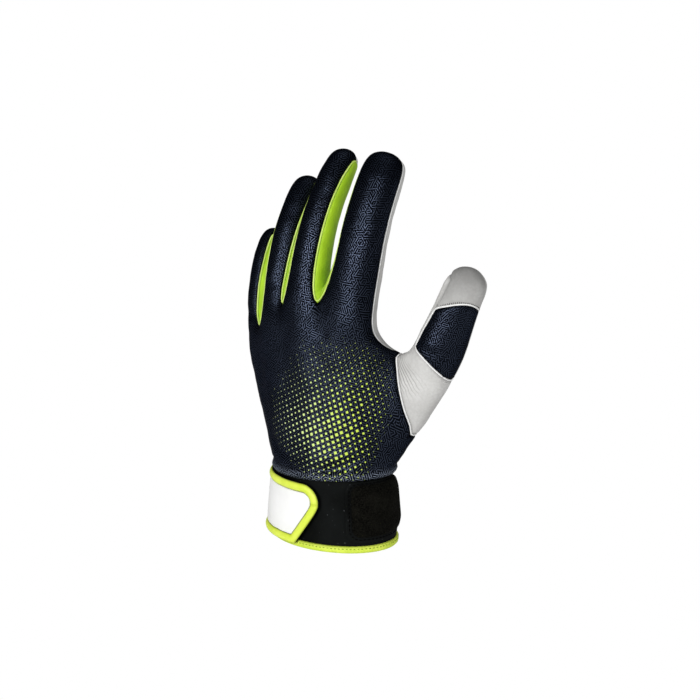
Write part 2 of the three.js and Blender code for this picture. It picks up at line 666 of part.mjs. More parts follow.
// The raised border runs round the tab from the root and back to it.
const outerRim = tabOutline(rimStart, backing);
const innerRim = tabOutline(rimStart, tabShape(tabBorder));
const rimRings = outerRim.map(([p, z], k) => {
  const [q, y] = innerRim[k];
  return [onCuff(p, z, rimUnder), onCuff(q, y, rimUnder), onCuff(q, y, rimOver), onCuff(p, z, rimOver)];
});
add(strap, "tab_binding", sweep(rimRings, [[0, 1, 2], [0, 2, 3]]), brightLime);

// The hem stands on the ground plane with the glove's box centred over the origin.
const box = new THREE.Box3().setFromObject(glove);
const boxCentre = box.getCenter(new THREE.Vector3());
glove.position.set(-boxCentre.x, -boxCentre.y, -box.min.z);
glove.updateMatrixWorld(true);

export default glove;
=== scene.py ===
"""Catcher's inner glove for the left hand: sewn panels, cuff and strap dressed over the fixed frame."""

import math

import bpy
import numpy as np
from mathutils import Matrix, Vector, bvhtree, kdtree, noise


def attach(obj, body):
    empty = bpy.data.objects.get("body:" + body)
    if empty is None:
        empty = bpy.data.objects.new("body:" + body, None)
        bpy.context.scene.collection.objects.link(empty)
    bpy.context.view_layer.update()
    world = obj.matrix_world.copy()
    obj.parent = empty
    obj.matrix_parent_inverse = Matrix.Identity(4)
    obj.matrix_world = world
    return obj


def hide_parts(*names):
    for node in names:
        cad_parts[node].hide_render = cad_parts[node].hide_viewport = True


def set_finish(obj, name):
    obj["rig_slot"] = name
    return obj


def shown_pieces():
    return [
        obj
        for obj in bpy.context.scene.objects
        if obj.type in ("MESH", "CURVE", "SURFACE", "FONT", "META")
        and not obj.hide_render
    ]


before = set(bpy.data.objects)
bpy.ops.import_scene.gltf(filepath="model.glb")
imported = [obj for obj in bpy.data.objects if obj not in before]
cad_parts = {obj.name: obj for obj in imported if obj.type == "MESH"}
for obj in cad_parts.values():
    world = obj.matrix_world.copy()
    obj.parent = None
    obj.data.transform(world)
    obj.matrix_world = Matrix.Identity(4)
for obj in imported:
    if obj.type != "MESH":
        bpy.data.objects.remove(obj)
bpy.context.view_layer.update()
scene = bpy.context.scene
bpy.ops.object.select_all(action="DESELECT")

# Sizes in millimetres, measured from the wrist's own centre. The frame stands this far from it.
MM = 0.001
FRAME_SHIFT = np.array([-12.5929, 1.3687, 0.0])
SMOOTHING = 4

PANEL_THICKNESS = 1.0
PAD_THICKNESS = 4.0
FINGER_PAD_THICKNESS = 3.0
LINING_THICKNESS = 0.6
LAYER_GAP = 0.3

DIGITS = {
    "little": dict(start=(-48, 0, 61), splay=-12, tilt=9, facing=-22, spans=(19, 19, 19, 11),
                   bends=(3, 12, 14, 6), width=(18, 15), depth=(18, 15), cap=6),
    "ring": dict(start=(-33.5, -7, 82), splay=2, tilt=12, facing=3, spans=(24, 22, 23, 12),
                 bends=(2, 14, 16, 6), width=(21, 17.5), depth=(20, 16.5), cap=6.5),
    "middle": dict(start=(-12.5, -10, 91), splay=5.4, tilt=11, facing=0, spans=(25, 25, 26, 14),
                   bends=(2, 14, 15, 6), width=(23, 17.5), depth=(21, 16.5), cap=7),
    "index": dict(start=(19.5, -7, 91), splay=6.5, tilt=8, facing=4, spans=(25, 23, 25, 15),
                  bends=(0, 12, 12, 6), width=(27.5, 23.5), depth=(24, 20), cap=6),
    "thumb": dict(start=(62.5, 13, 65), splay=23, tilt=2, facing=18, spans=(18, 19, 17),
                  bends=(4, 8, 8), width=(28, 24), depth=(25, 19), cap=10, slants=(-12, 4, 30, 0),
                  rises={0: (6.5, 5, 3, 0, 0, 0, 2, 5), 2: (3, 4, -5, -3, 0, 0, -2, -3.5)}),
}
FINGERS = ("little", "ring", "middle", "index")
CAGE_SWELL = 1.1
ROOT_CORNER, TIP_CORNER = (0.76, 0.76), (0.88, 0.5)
ROW_SHARES = (0, 0.22, 0.48, 0.72, 0.87, 1)
PALM_FULLNESS = 6
CROTCH_RISE = 9
PAD_START = 30
THUMB_ROOT = {
    1: {"back": (54.5, 6.5, 25), "side": (49, 14, 18), "palm": (38, 26, 22)},
    2: {"back": (49, 1, 48), "palm": (44, 28, 46)},
    3: {"back": (48.5, 6, 70), "side": (44, 13, 64), "palm": (36, 20, 63)},
}

CUFF_HEIGHT = 46
CUFF_THICKNESS = 2.5
HEM_HALF_WIDTH, HEM_HALF_DEPTH = 38.8, 29
TOP_HALF_WIDTH, TOP_HALF_DEPTH = 34.5, 26
CUFF_OFFSET = 2.5
PANEL_OVERLAP = 4
WRIST_TILT = 4
WRIST_EASE = 1.0
SLIT_PLACE, SLIT_WIDTH = -70, 4

TAB_TIP, TAB_ROOT, TAB_LOW = 11.8, -52, 2.5
TAB_TOP_GAP, TAB_CORNER, TAB_SLANT, TAB_NOSE = 0.3, 10.5, 17, 5
TAB_THICKNESS, TAB_BORDER, TAB_RIM = 1.0, 4.6, 0.9
RIM_SETBACK, SEAM_GAP = 1.5, 0.3
WEB_ROOT, WEB_HEIGHT, WEB_THICKNESS = -88, 25, 1.2
ANCHOR_LENGTH, HINGE_GAP = 11, 0.4
TAPE_HEIGHT, TAPE_THICKNESS, TAPE_MARGIN = 21, 0.6, 11.5
HOOK_START, LANDING_START = -22, -42
PATCH_START, PATCH_END, PATCH_LOW = 27, 76, 5.5
PATCH_TOP_GAP, PATCH_CORNER, PATCH_THICKNESS = 1.5, 7, 1.4

WRIST_HEIGHT = CUFF_HEIGHT - PANEL_OVERLAP
TAB_HIGH = WRIST_HEIGHT - WRIST_TILT - TAB_TOP_GAP
TAB_MIDDLE = (TAB_LOW + TAB_HIGH) / 2
TAB_SLOPE = (TAB_HIGH - TAB_CORNER - TAB_LOW) / TAB_SLANT


def lerp(a, b, share):
    return a + (b - a) * share


def unit(v):
    return v / np.linalg.norm(v)


def unit_rows(rows):
    return rows / np.linalg.norm(rows, axis=1)[:, None]


def bell(distance, middle, half_width):
    """Height of a bell curve that is 1 at its middle."""
    return np.exp(-((distance - middle) / half_width) ** 2)


def turned(v, axis, angle):
    axis = unit(axis)
    c, s = math.cos(angle), math.sin(angle)
    return v * c + np.cross(axis, v) * s + axis * axis.dot(v) * (1 - c)


def above_wrist(point):
    return np.array(point, float) + (0, 0, WRIST_HEIGHT)


def in_frame(points):
    """Points from the wrist's centre in millimetres, as metres of the frame."""
    return (np.asarray(points, float) + FRAME_SHIFT) * MM


# Wrist oval: places are distances round the hem from the middle of the back, positive towards the thumb
OVAL_STEPS = 720
oval_turn = -math.pi / 2 + 2 * math.pi * np.arange(OVAL_STEPS + 1) / OVAL_STEPS
oval_line = np.stack([HEM_HALF_WIDTH * np.cos(oval_turn), HEM_HALF_DEPTH * np.sin(oval_turn)], 1)
oval_run = np.concatenate([[0], np.cumsum(np.linalg.norm(np.diff(oval_line, axis=0), axis=1))])
WRIST_GIRTH = oval_run[-1]


def cuff_points(angle, z, lift):
    """Points at angles of the oval, heights above the hem and lifts off the outer face of the cuff."""
    angle, z, lift = np.broadcast_arrays(*(np.asarray(v, float) for v in (angle, z, lift)))
    share = z / CUFF_HEIGHT
    a, b = lerp(HEM_HALF_WIDTH, TOP_HALF_WIDTH, share), lerp(HEM_HALF_DEPTH, TOP_HALF_DEPTH, share)
    out_x, out_y = np.cos(angle) / a, np.sin(angle) / b
    size = np.hypot(out_x, out_y)
    x = CUFF_OFFSET + a * np.cos(angle) + lift * out_x / size
    return np.stack([x, b * np.sin(angle) + lift * out_y / size, z], -1)


def on_cuff(place, z, lift):
    """Points at places round the cuff instead of angles."""
    return cuff_points(np.interp(np.mod(place, WRIST_GIRTH), oval_run, oval_turn), z, lift)


# Cage of the hand
RING = ("D", "DR", "R", "PR", "P", "PU", "U", "DU")
LINES = 20
BACK_OUTER, BACK_INNER, THUMB_SIDE, PALM_INNER, PALM_OUTER, OUTER_SIDE = 0, 8, 9, 10, 18, 19
cage_points, cage_faces, cage_tags = [], [], []


def add_point(p):
    cage_points.append(p)
    return len(cage_points) - 1


def add_face(corners, part, row, line=None, side=None):
    cage_faces.append(corners)
    cage_tags.append((part, row, line, side))


def digit_sections(digit):
    """Rings of eight points up a digit, and the point of its tip."""
    spans, bends, width, depth = (digit[k] for k in ("spans", "bends", "width", "depth"))
    splay, tilt, facing = (math.radians(digit[k]) for k in ("splay", "tilt", "facing"))
    slants, rises = digit.get("slants", (0,) * 5), digit.get("rises", {})
    tip_corner = ROOT_CORNER if "slants" in digit else TIP_CORNER
    along = unit(np.array([math.sin(splay), math.sin(tilt), 1.0]))
    dorsal = np.array([math.sin(facing), -math.cos(facing), 0.0])
    dorsal = unit(dorsal - along * dorsal.dot(along))
    across = np.cross(along, dorsal)
    centre = above_wrist(digit["start"])
    rings = []

    def put(half_bend, k):
        up = turned(dorsal, across, half_bend)
        side = turned(across, up, math.radians(slants[k]))
        a, b = (lerp(r, t, k / len(spans)) for r, t in zip(ROOT_CORNER, tip_corner))
        shares = ((0, 1), (a, b), (1, 0), (a, -b), (0, -1), (-a, -b), (-1, 0), (-a, b))
        half_w = CAGE_SWELL * lerp(width[0], width[1], k / len(spans)) / 2
        half_d = CAGE_SWELL * lerp(depth[0], depth[1], k / len(spans)) / 2
        rise = rises.get(k, (0,) * 8)
        rings.append([centre + side * w * half_w + up * d * half_d + along * r
                      for (w, d), r in zip(shares, rise)])

    put(0, 0)
    for k, span in enumerate(spans):
        centre = centre + along * span
        bend = -math.radians(bends[k])
        put(bend / 2, k + 1)
        along, dorsal = turned(along, across, bend), turned(dorsal, across, bend)
    return rings, centre + along * digit["cap"]


def add_digit(name, ring, sections, apex):
    """Faces from a ring of the hand up through a digit's sections to its tip."""
    for row, points in enumerate(sections):
        upper = [add_point(p) for p in points]
        for i in range(8):
            j = (i + 1) % 8
            add_face((ring[i], ring[j], upper[j], upper[i]), name, row, side=RING[i] + "-" + RING[j])
        ring = upper
    tip = add_point(apex)
    for i in range(0, 8, 2):
        corners = (ring[i], ring[i + 1], ring[(i + 2) % 8], tip)
        add_face(corners, name, len(sections), side=RING[i] + "-tip")


def line_angle(line):
    return 2 * math.pi * ((line + 1) / LINES - 0.5)


def finger_line(f, side):
    """Line of the hand that runs into one side of a finger."""
    back = {"DU": BACK_OUTER, "D": BACK_OUTER + 1, "DR": BACK_OUTER + 2}
    palm = {"PU": PALM_OUTER, "P": PALM_OUTER - 1, "PR": PALM_OUTER - 2}
    return back[side] + 2 * f if side in back else palm[side] - 2 * f


def is_palm(line):
    return PALM_INNER < line < PALM_OUTER


def build_cage():
    """Rows of the hand from the wrist to the crotches, with the five digits on them."""
    digits = {name: digit_sections(d) for name, d in DIGITS.items()}
    root = [dict(zip(RING, digits[name][0][0])) for name in FINGERS]
    crotch = [None] * LINES
    middles = []
    for f in range(4):
        crotch[finger_line(f, "D")] = root[f]["D"]
        crotch[finger_line(f, "P")] = root[f]["P"]
        if f:
            crotch[finger_line(f, "DU")] = (root[f]["DU"] + root[f - 1]["DR"]) / 2
            crotch[finger_line(f, "PU")] = (root[f]["PU"] + root[f - 1]["PR"]) / 2
            middles.append((root[f]["U"] + root[f - 1]["R"]) / 2 + (0, 0, CROTCH_RISE))
    ends = ((BACK_OUTER, 0, "DU"), (PALM_OUTER, 0, "PU"), (OUTER_SIDE, 0, "U"),
            (BACK_INNER, 3, "DR"), (THUMB_SIDE, 3, "R"), (PALM_INNER, 3, "PR"))
    for line, f, side in ends:
        crotch[line] = root[f][side]
    root_name = {BACK_INNER: "back", THUMB_SIDE: "side", PALM_INNER: "palm"}
    wrist_lift = PANEL_THICKNESS + LAYER_GAP + WRIST_EASE

    def row_point(row, line):
        made = THUMB_ROOT.get(row, {}).get(root_name.get(line))
        if made:
            return above_wrist(made)
        drop = WRIST_TILT * (1 - math.cos(line_angle(line))) / 2
        share = ROW_SHARES[row]
        point = lerp(cuff_points(line_angle(line), WRIST_HEIGHT - drop, wrist_lift), crotch[line], share)
        if is_palm(line):
            point = point + (0, PALM_FULLNESS * math.sin(math.pi * share), 0)
        return point

    rows = [[None if (row, line) == (2, THUMB_SIDE) else add_point(row_point(row, line))
             for line in range(LINES)] for row in range(len(ROW_SHARES))]
    for row in range(len(rows) - 1):
        for line in range(LINES):
            if row in (1, 2) and line in (BACK_INNER, THUMB_SIDE):
                continue
            after = (line + 1) % LINES
            corners = (rows[row][line], rows[row][after], rows[row + 1][after], rows[row + 1][line])
            add_face(corners, "hand", row, line=line)
    top = rows[-1]
    middle_index = [add_point(p) for p in middles]
    for f, name in enumerate(FINGERS):
        sides = {"R": top[THUMB_SIDE] if f == 3 else middle_index[f],
                 "U": top[OUTER_SIDE] if f == 0 else middle_index[f - 1]}
        ring = [sides[s] if s in sides else top[finger_line(f, s)] for s in RING]
        add_digit(name, ring, digits[name][0][1:], digits[name][1])
    thumb_ring = [rows[r][line] for r, line in (
        (2, BACK_INNER), (1, BACK_INNER), (1, THUMB_SIDE), (1, PALM_INNER),
        (2, PALM_INNER), (3, PALM_INNER), (3, THUMB_SIDE), (3, BACK_INNER))]
    add_digit("thumb", thumb_ring, *digits["thumb"])


# Panels of the hand, as they are cut and sewn
DORSAL_SIDES = ("D-DR", "DU-D", "D-tip", "U-tip")
# Numbers of the panels, in the order of PANEL_FINISH. The gussets' follow from the little finger to the index
BACK, PALM, THUMB, KNUCKLE, TIP = 0, 1, 5, 6, 7
GUSSETS = (4, 3, 2)


def panel_of(part, row, line, side):
    """Number of the panel that a face of the cage belongs to."""
    if part == "hand":
        heel = row == 0 and line <= PALM_INNER
        return BACK if line <= BACK_INNER or line == OUTER_SIDE or heel else PALM
    if part == "thumb":
        if row == 0 or side not in DORSAL_SIDES + ("DR-R",):
            return THUMB
        return TIP if row > 2 else KNUCKLE
    f = FINGERS.index(part)
    if side in DORSAL_SIDES or (f == 3 and side == "DR-R") or (f == 0 and side == "U-DU"):
        return BACK
    if f < 3 and side in ("DR-R", "R-PR"):
        return GUSSETS[f]
    if f and side in ("PU-U", "U-DU"):
        return GUSSETS[f - 1]
    return PALM


build_cage()
cage_panel = [panel_of(*tag) for tag in cage_tags]

UNWRAP_MARGIN, UNWRAP_ROUNDS = 0.01, 60


def edge_users(faces):
    """Numbers of the faces at each edge, by the edge's two points in rising order."""
    users = {}
    for f, corners in enumerate(faces):
        for a, b in zip(corners, np.roll(corners, -1)):
            users.setdefault((min(a, b), max(a, b)), []).append(f)
    return users


def read_values(items, key, width, kind=float):
    """A row of values from each of a mesh's items."""
    values = np.zeros(len(items) * width, kind)
    items.foreach_get(key, values)
    return values.reshape(-1, width)


def smooth_skin():
    """The cage unwrapped panel by panel and smoothed: points, normals, quads, cage faces, corner UVs."""
    mesh = bpy.data.meshes.new("hand_cage")
    mesh.from_pydata(in_frame(cage_points).tolist(), [], cage_faces)
    mesh.polygons.foreach_set("material_index", np.arange(len(cage_faces), dtype=np.int32))
    users = edge_users(cage_faces)
    for edge in mesh.edges:
        panels = {cage_panel[f] for f in users[tuple(sorted(edge.vertices))]}
        edge.use_seam = len(panels) > 1
    mesh.uv_layers.new(name="cut")
    obj = bpy.data.objects.new("hand_cage", mesh)
    scene.collection.objects.link(obj)
    bpy.context.view_layer.objects.active = obj
    obj.select_set(True)
    bpy.ops.object.mode_set(mode="EDIT")
    bpy.ops.mesh.select_all(action="SELECT")
    bpy.ops.uv.unwrap(method="MINIMUM_STRETCH", margin=UNWRAP_MARGIN, iterations=UNWRAP_ROUNDS)
    bpy.ops.object.mode_set(mode="OBJECT")
    smoother = obj.modifiers.new("smooth", "SUBSURF")
    smoother.levels = smoother.render_levels = SMOOTHING
    bpy.ops.object.modifier_apply(modifier=smoother.name)
    done = obj.data
    points, normals = (read_values(done.vertices, key, 3) for key in ("co", "normal"))
    quads = read_values(done.loops, "vertex_index", 1, np.int32).reshape(-1, 4)
    cage_face = read_values(done.polygons, "material_index", 1, np.int32).ravel()
    corner_uv = read_values(done.uv_layers[0].data, "uv", 2).reshape(-1, 4, 2)
    bpy.data.objects.remove(obj)
    return points, normals, quads, cage_face, corner_uv


skin, skin_normals, skin_quads, quad_cage, quad_uv = smooth_skin()
quad_panel = np.array(cage_panel)[quad_cage]
skin_edges = edge_users(skin_quads)

# The gussets are cut fuller at the crotch and slimmer towards the tips than the cage has them: how far, in
# millimetres, a seam of a finger's outer (U) or thumb side (R) slides towards its gusset, at shares of the
# seam's height
SEAM_SLIDES = {
    ("little", "R"): ((0, 0), (0.12, -1.5), (0.4, -1.0), (0.7, 0), (1, 0)),
    ("ring", "U"): ((0, 0), (0.1, -1.3), (0.3, -0.6), (0.5, 0.8), (0.75, 2.2), (1, 2.6)),
    ("ring", "R"): ((0, 0), (0.12, -0.9), (0.35, -1.0), (0.65, -0.2), (1, 1.2)),
    ("middle", "U"): ((0, 0), (0.12, -0.5), (0.25, -0.4), (0.45, 0.6), (0.75, 2.2), (1, 2.6)),
    ("middle", "R"): ((0, 0), (0.7, 0), (0.88, 0.8), (1, 2.4)),
    ("index", "U"): ((0, 0), (0.15, 0.4), (0.35, 1.6), (0.55, 2.8), (1, 3.2)),
    ("thumb", "U"): ((0, 3.2), (0.5, 3.0), (1, 1.6)),
    ("thumb", "R"): ((0, 2.0), (1, 2.2)),
}
SLIDE_REACH = 8.5
GUSSET_SIDES, THUMB_SIDES = ("DR-R", "U-DU"), ("R-PR", "U-DU")
# The lower corner of the thumb's leather, which is pulled down to a point
THUMB_CORNER = LINES + BACK_INNER
CORNER_PULL, CORNER_REACH = (3.6, 1.6, -5.2), 12.5


def is_beside_knit(q):
    _, row, _, side = cage_tags[quad_cage[q]]
    if quad_panel[q] == THUMB:
        return side in THUMB_SIDES and row > 0
    return side in GUSSET_SIDES and quad_panel[q] in GUSSETS


def is_knit(q):
    return quad_panel[q] in (BACK, KNUCKLE) and "tip" not in (cage_tags[quad_cage[q]][3] or "")


def gusset_seams():
    """Points of each finger's two gusset seams, with the way from the back panel to the gusset there."""
    centres = skin[skin_quads].mean(1)
    found = {}
    for edge, quads in skin_edges.items():
        gusset = [q for q in quads if is_beside_knit(q)]
        knit = [q for q in quads if is_knit(q)]
        if len(gusset) == 1 and len(knit) == 1:
            part, _, _, side = cage_tags[quad_cage[gusset[0]]]
            line = found.setdefault((part, "U" if side == "U-DU" else "R"), {})
            for point in edge:
                line.setdefault(point, []).append(centres[gusset[0]] - centres[knit[0]])
    return found


def tree_of(points):
    """Search tree that finds the nearest of some points."""
    tree = kdtree.KDTree(len(points))
    for i, p in enumerate(points):
        tree.insert(p, i)
    tree.balance()
    return tree


def slide_seams():
    """Moves the skin's points along the skin beside the gusset seams, and leaves its form as it was."""
    form = bvhtree.BVHTree.FromPolygons(skin.tolist(), skin_quads.tolist())
    parts = [set() for _ in skin]
    for q, corners in enumerate(skin_quads):
        for i in corners:
            parts[i].add(cage_tags[quad_cage[q]][0])
    moved = skin.copy()
    reach = SLIDE_REACH * MM
    for (part, side), line in gusset_seams().items():
        if (part, side) not in SEAM_SLIDES:
            continue
        seam = np.array(sorted(line))
        z = skin[seam][:, 2]
        slide = np.interp((z - z.min()) / (z.max() - z.min()), *np.array(SEAM_SLIDES[part, side]).T)
        ways = []
        for i in seam:
            way = np.mean(line[i], axis=0)
            ways.append(unit(way - skin_normals[i] * way.dot(skin_normals[i])))
        tree = tree_of(skin[seam])
        for i in range(len(skin)):
            if not parts[i] & {part, "hand"}:
                continue
            _, k, gap = tree.find(skin[i])
            if gap < reach:
                moved[i] += ways[k] * slide[k] * MM * (1 - (gap / reach) ** 2) ** 2
    gap = np.linalg.norm(skin - skin[THUMB_CORNER], axis=1) / (CORNER_REACH * MM)
    moved += np.array(CORNER_PULL) * MM * (np.clip(1 - gap ** 2, 0, 1) ** 2)[:, None]
    for i in np.flatnonzero(np.abs(moved - skin).max(1) > 0):
        moved[i] = form.find_nearest(Vector(moved[i]))[0]
    return moved


def point_normals(points):
    a, b, c, d = (points[skin_quads[:, k]] for k in range(4))
    face = np.cross(c - a, d - b)
    normals = np.zeros_like(points)
    for k in range(4):
        np.add.at(normals, skin_quads[:, k], face)
    return unit_rows(normals)


skin = slide_seams()
skin_normals = point_normals(skin)


def quads_where(test):
    """Quads of the skin whose cage face passes a test."""
    chosen = np.array([bool(test(*tag)) for tag in cage_tags])
    return np.flatnonzero(chosen[quad_cage])


def rim_edges(quads):
    """Edges of quads that only one of them uses, in that quad's direction."""
    ahead = np.roll(quads, -1, axis=1)
    pairs = np.stack([quads.ravel(), ahead.ravel()], 1).astype(np.int64)
    count = pairs.max() + 1
    code, back = pairs[:, 0] * count + pairs[:, 1], pairs[:, 1] * count + pairs[:, 0]
    return pairs[~np.isin(code, back)]


def closed_faces(quads, n):
    """Quads, their copies n points further on that face the other way, and the walls between both rims."""
    a, b = rim_edges(quads).T
    return np.concatenate([quads, quads[:, ::-1] + n, np.stack([a, a + n, b + n, b], 1)])


def distance_to(points, targets):
    """Distance from each point to the nearest target."""
    tree = tree_of(targets)
    return np.array([tree.find(p)[2] for p in points])


def chains(edges):
    """Edges joined end to end into lines of points."""
    links = {}
    for a, b in edges:
        links.setdefault(int(a), []).append(int(b))
        links.setdefault(int(b), []).append(int(a))
    made, left = [], {tuple(sorted((int(a), int(b)))) for a, b in edges}
    starts = [p for p, ends in links.items() if len(ends) != 2] + list(links)
    for start in starts:
        for step in links[start]:
            if tuple(sorted((start, step))) not in left:
                continue
            line, here = [start], step
            left.discard(tuple(sorted((start, step))))
            while True:
                line.append(here)
                on = [p for p in links[here] if tuple(sorted((here, p))) in left]
                if len(links[here]) != 2 or not on:
                    break
                left.discard(tuple(sorted((here, on[0]))))
                here = on[0]
            made.append(line)
    return made


# Seams between the panels
seam_edges = {}
for edge, quads in skin_edges.items():
    owners = sorted(quad_panel[q] for q in quads)
    if len(owners) == 1:
        seam_edges.setdefault("wrist", []).append(edge)
    elif owners[0] != owners[1]:
        seam_edges.setdefault(tuple(owners), []).append(edge)
sewn_points = sorted({int(p) for key, edges in seam_edges.items() if key != "wrist"
                      for e in edges for p in e})
wrist_points = sorted({int(p) for e in seam_edges["wrist"] for p in e})
seam_distance = distance_to(skin, skin[sewn_points]) / MM
wrist_distance = distance_to(skin, skin[wrist_points]) / MM

# Relief: panels swell a little between their seams, cloth is uneven, and the knit rolls out above the cuff
SWELL, SWELL_REACH = 0.45, 2.6
GROOVE, GROOVE_HALF_WIDTH = 0.65, 0.9
UNEVEN, UNEVEN_REACH, UNEVEN_SCALE = 0.5, 4, 0.055
LEATHER_RIPPLE, KNIT_RIPPLE = 0.16, 0.1
RIPPLE_SCALE, RIPPLE_START = np.array([0.09, 0.09, 0.2]), Vector((31, 7, 3))
ROLL, ROLL_PLACE, ROLL_HALF_WIDTH = 0.95, 2.2, 1.8
DIP, DIP_PLACE, DIP_HALF_WIDTH = 0.6, 6.0, 1.4
# Creases: both ends, half width, depth and bow
CREASES = (
    ((50, -8, 66), (12, -28, 47), 2.8, 1.5, (0, -2, -4)),
    ((53, -2, 60), (26, -26, 44), 2.2, 1.1, (0, -2, -2)),
    ((-30, -22, 60), (2, -30, 50), 2.8, 0.8, (0, 0, -3)),
    ((34, -18, 120), (40, -8, 96), 3.0, 0.5, (2, 0, 0)),
    ((58, 1, 122), (72, 2, 116), 2.0, 0.45, (0, 0, -2)),
    ((55, 4, 114), (72, 6, 106), 2.4, 0.5, (0, 0, -3)),
    ((12, -19, 158), (33, -17, 160), 2.2, 0.4, (0, 0, -2)),
    ((13, -17, 163), (33, -15, 165), 2.0, 0.3, (0, 0, 2)),
    ((-17, -20, 158), (2, -20, 160), 2.2, 0.4, (0, 0, -2)),
    ((-42, -14, 146), (-22, -14, 147), 2.2, 0.4, (0, 0, -2)),
    ((-60, -4, 124), (-46, -6, 124), 2.0, 0.35, (0, 0, -2)),
)
CREASE_STEPS, CREASE_FADE, CREASE_REACH = 25, 0.6, 45
LIP, LIP_PLACE, LIP_HALF_WIDTH = 0.45, 1.9, 0.8

point_panel = np.zeros(len(skin), np.int32)
for f, corners in enumerate(skin_quads):
    point_panel[corners] = quad_panel[f]
is_leather = np.isin(point_panel, (PALM, THUMB, TIP))
local = skin / MM - FRAME_SHIFT
unevenness = np.array([noise.fractal(Vector(p) * UNEVEN_SCALE, 1.0, 2.0, 3) for p in local])
ripple = np.array([noise.noise(Vector(p * RIPPLE_SCALE) + RIPPLE_START) for p in local])


def crease(points, start, end, width, depth, bow):
    """Furrow along a bowed line, with a low lip on both sides."""
    start, end, bow = (np.array(v, float) for v in (start, end, bow))
    steps = np.linspace(0, 1, CREASE_STEPS)[:, None]
    line = start + (end - start) * steps + bow * np.sin(math.pi * steps)
    near = np.linalg.norm(points[:, None, :] - line[None, :, :], axis=2)
    nearest = near.argmin(1)
    d = near[np.arange(len(points)), nearest] / width
    fade = np.sin(math.pi * (nearest + 1) / (CREASE_STEPS + 1)) ** CREASE_FADE
    return depth * fade * (LIP * bell(d, LIP_PLACE, LIP_HALF_WIDTH) - bell(d, 0, 1))


relief = SWELL * (1 - np.exp(-seam_distance / SWELL_REACH))
relief -= GROOVE * bell(seam_distance, 0, GROOVE_HALF_WIDTH)
relief += UNEVEN * unevenness * (1 - np.exp(-seam_distance / UNEVEN_REACH))
relief += np.where(is_leather, LEATHER_RIPPLE, KNIT_RIPPLE) * ripple
for line in CREASES:
    middle = (np.array(line[0]) + line[1]) / 2
    near = np.flatnonzero(np.linalg.norm(local - middle, axis=1) < CREASE_REACH)
    relief[near] += crease(local[near], *line)
relief += ROLL * bell(wrist_distance, ROLL_PLACE, ROLL_HALF_WIDTH)
relief -= DIP * bell(wrist_distance, DIP_PLACE, DIP_HALF_WIDTH)
skin_top = skin + skin_normals * (relief * MM)[:, None]


# Shader groups
class Sketch:
    """Puts nodes into a tree and joins them."""

    def __init__(self, tree):
        self.tree = tree

    def node(self, kind, inputs=None, **settings):
        made = self.tree.nodes.new("ShaderNode" + kind if not kind.startswith("Node") else kind)
        for key, value in settings.items():
            setattr(made, key, value)
        for key, value in (inputs or {}).items():
            self.feed(made.inputs[key], value)
        return made

    def feed(self, socket, value):
        if isinstance(value, bpy.types.NodeSocket):
            self.tree.links.new(value, socket)
        else:
            socket.default_value = value

    def math(self, operation, *values, clamp=False):
        return self.node("Math", dict(enumerate(values)), operation=operation, use_clamp=clamp).outputs[0]

    def times(self, first, *others):
        for other in others:
            first = self.math("MULTIPLY", first, other)
        return first

    def vector(self, operation, a, b):
        return self.node("VectorMath", {0: a, 1: b}, operation=operation).outputs["Vector"]

    def split(self, vector):
        return self.node("SeparateXYZ", {"Vector": vector}).outputs

    def mix(self, factor, a, b, blend="MIX"):
        made = self.node("Mix", data_type="RGBA", blend_type=blend)
        for key, value in (("Factor", factor), ("A", a), ("B", b)):
            self.feed(made.inputs[key], value)
        return made.outputs["Result"]

    def ramp(self, value, low, high, out_low=0.0, out_high=1.0):
        inputs = {"Value": value, "From Min": low, "From Max": high, "To Min": out_low, "To Max": out_high}
        return self.node("MapRange", inputs, interpolation_type="SMOOTHSTEP").outputs["Result"]

    def noise(self, place, scale, detail=2.0, roughness=0.5):
        inputs = {"Vector": place, "Scale": scale, "Detail": detail, "Roughness": roughness}
        return self.node("TexNoise", inputs).outputs["Fac"]

    def group(self, group, inputs):
        return self.node("Group", inputs, node_tree=group).outputs


def new_group(name, outputs, **floats):
    """A new shader group: a sketch of it, the sockets that it is given and the sockets that it gives.

    It is given a place or, where it gives a colour, a colour, and numbers with their usual values.
    """
    group = bpy.data.node_groups.new(name, "ShaderNodeTree")
    main = "Color" if "Color" in outputs else "Vector"
    group.interface.new_socket(main, in_out="INPUT", socket_type="NodeSocket" + main)
    for label, value in floats.items():
        socket = group.interface.new_socket(label, in_out="INPUT", socket_type="NodeSocketFloat")
        socket.default_value = value
    for label in outputs:
        kind = "Color" if label == "Color" else "Float"
        group.interface.new_socket(label, in_out="OUTPUT", socket_type="NodeSocket" + kind)
    s = Sketch(group)
    return s, s.node("NodeGroupInput").outputs, s.node("NodeGroupOutput").inputs


DASH_WAYS, DASH_TURN, DASH_EDGES, PATCH_RANDOMNESS = 3, math.radians(15), (0.2, 0.8), 0.55
JUST_UNDER = 0.999


def make_dash_weave():
    """Patches of fine stripes that lie in three directions."""
    s, given, gives = new_group("dash_weave", ["Mask"], Patch=640.0, Pitch=840.0)
    patches = s.node("TexVoronoi", {"Vector": given["Vector"], "Scale": given["Patch"],
                                    "Randomness": PATCH_RANDOMNESS}, voronoi_dimensions="2D")
    pick = s.node("SeparateColor", {"Color": patches.outputs["Color"]}).outputs["Red"]
    way = s.math("FLOOR", s.times(pick, DASH_WAYS * JUST_UNDER))
    angle = s.math("MULTIPLY_ADD", way, math.pi / DASH_WAYS, DASH_TURN)
    place = s.split(given["Vector"])
    along_x = s.times(place["X"], s.math("COSINE", angle))
    along_y = s.times(place["Y"], s.math("SINE", angle))
    wave = s.math("SINE", s.times(s.math("ADD", along_x, along_y), given["Pitch"], 2 * math.pi))
    s.feed(gives["Mask"], s.ramp(wave, *DASH_EDGES))
    return s.tree


PRINT_FOOT = (0.008, 0.052, 0.0)
PRINT_TURN = math.radians(24)
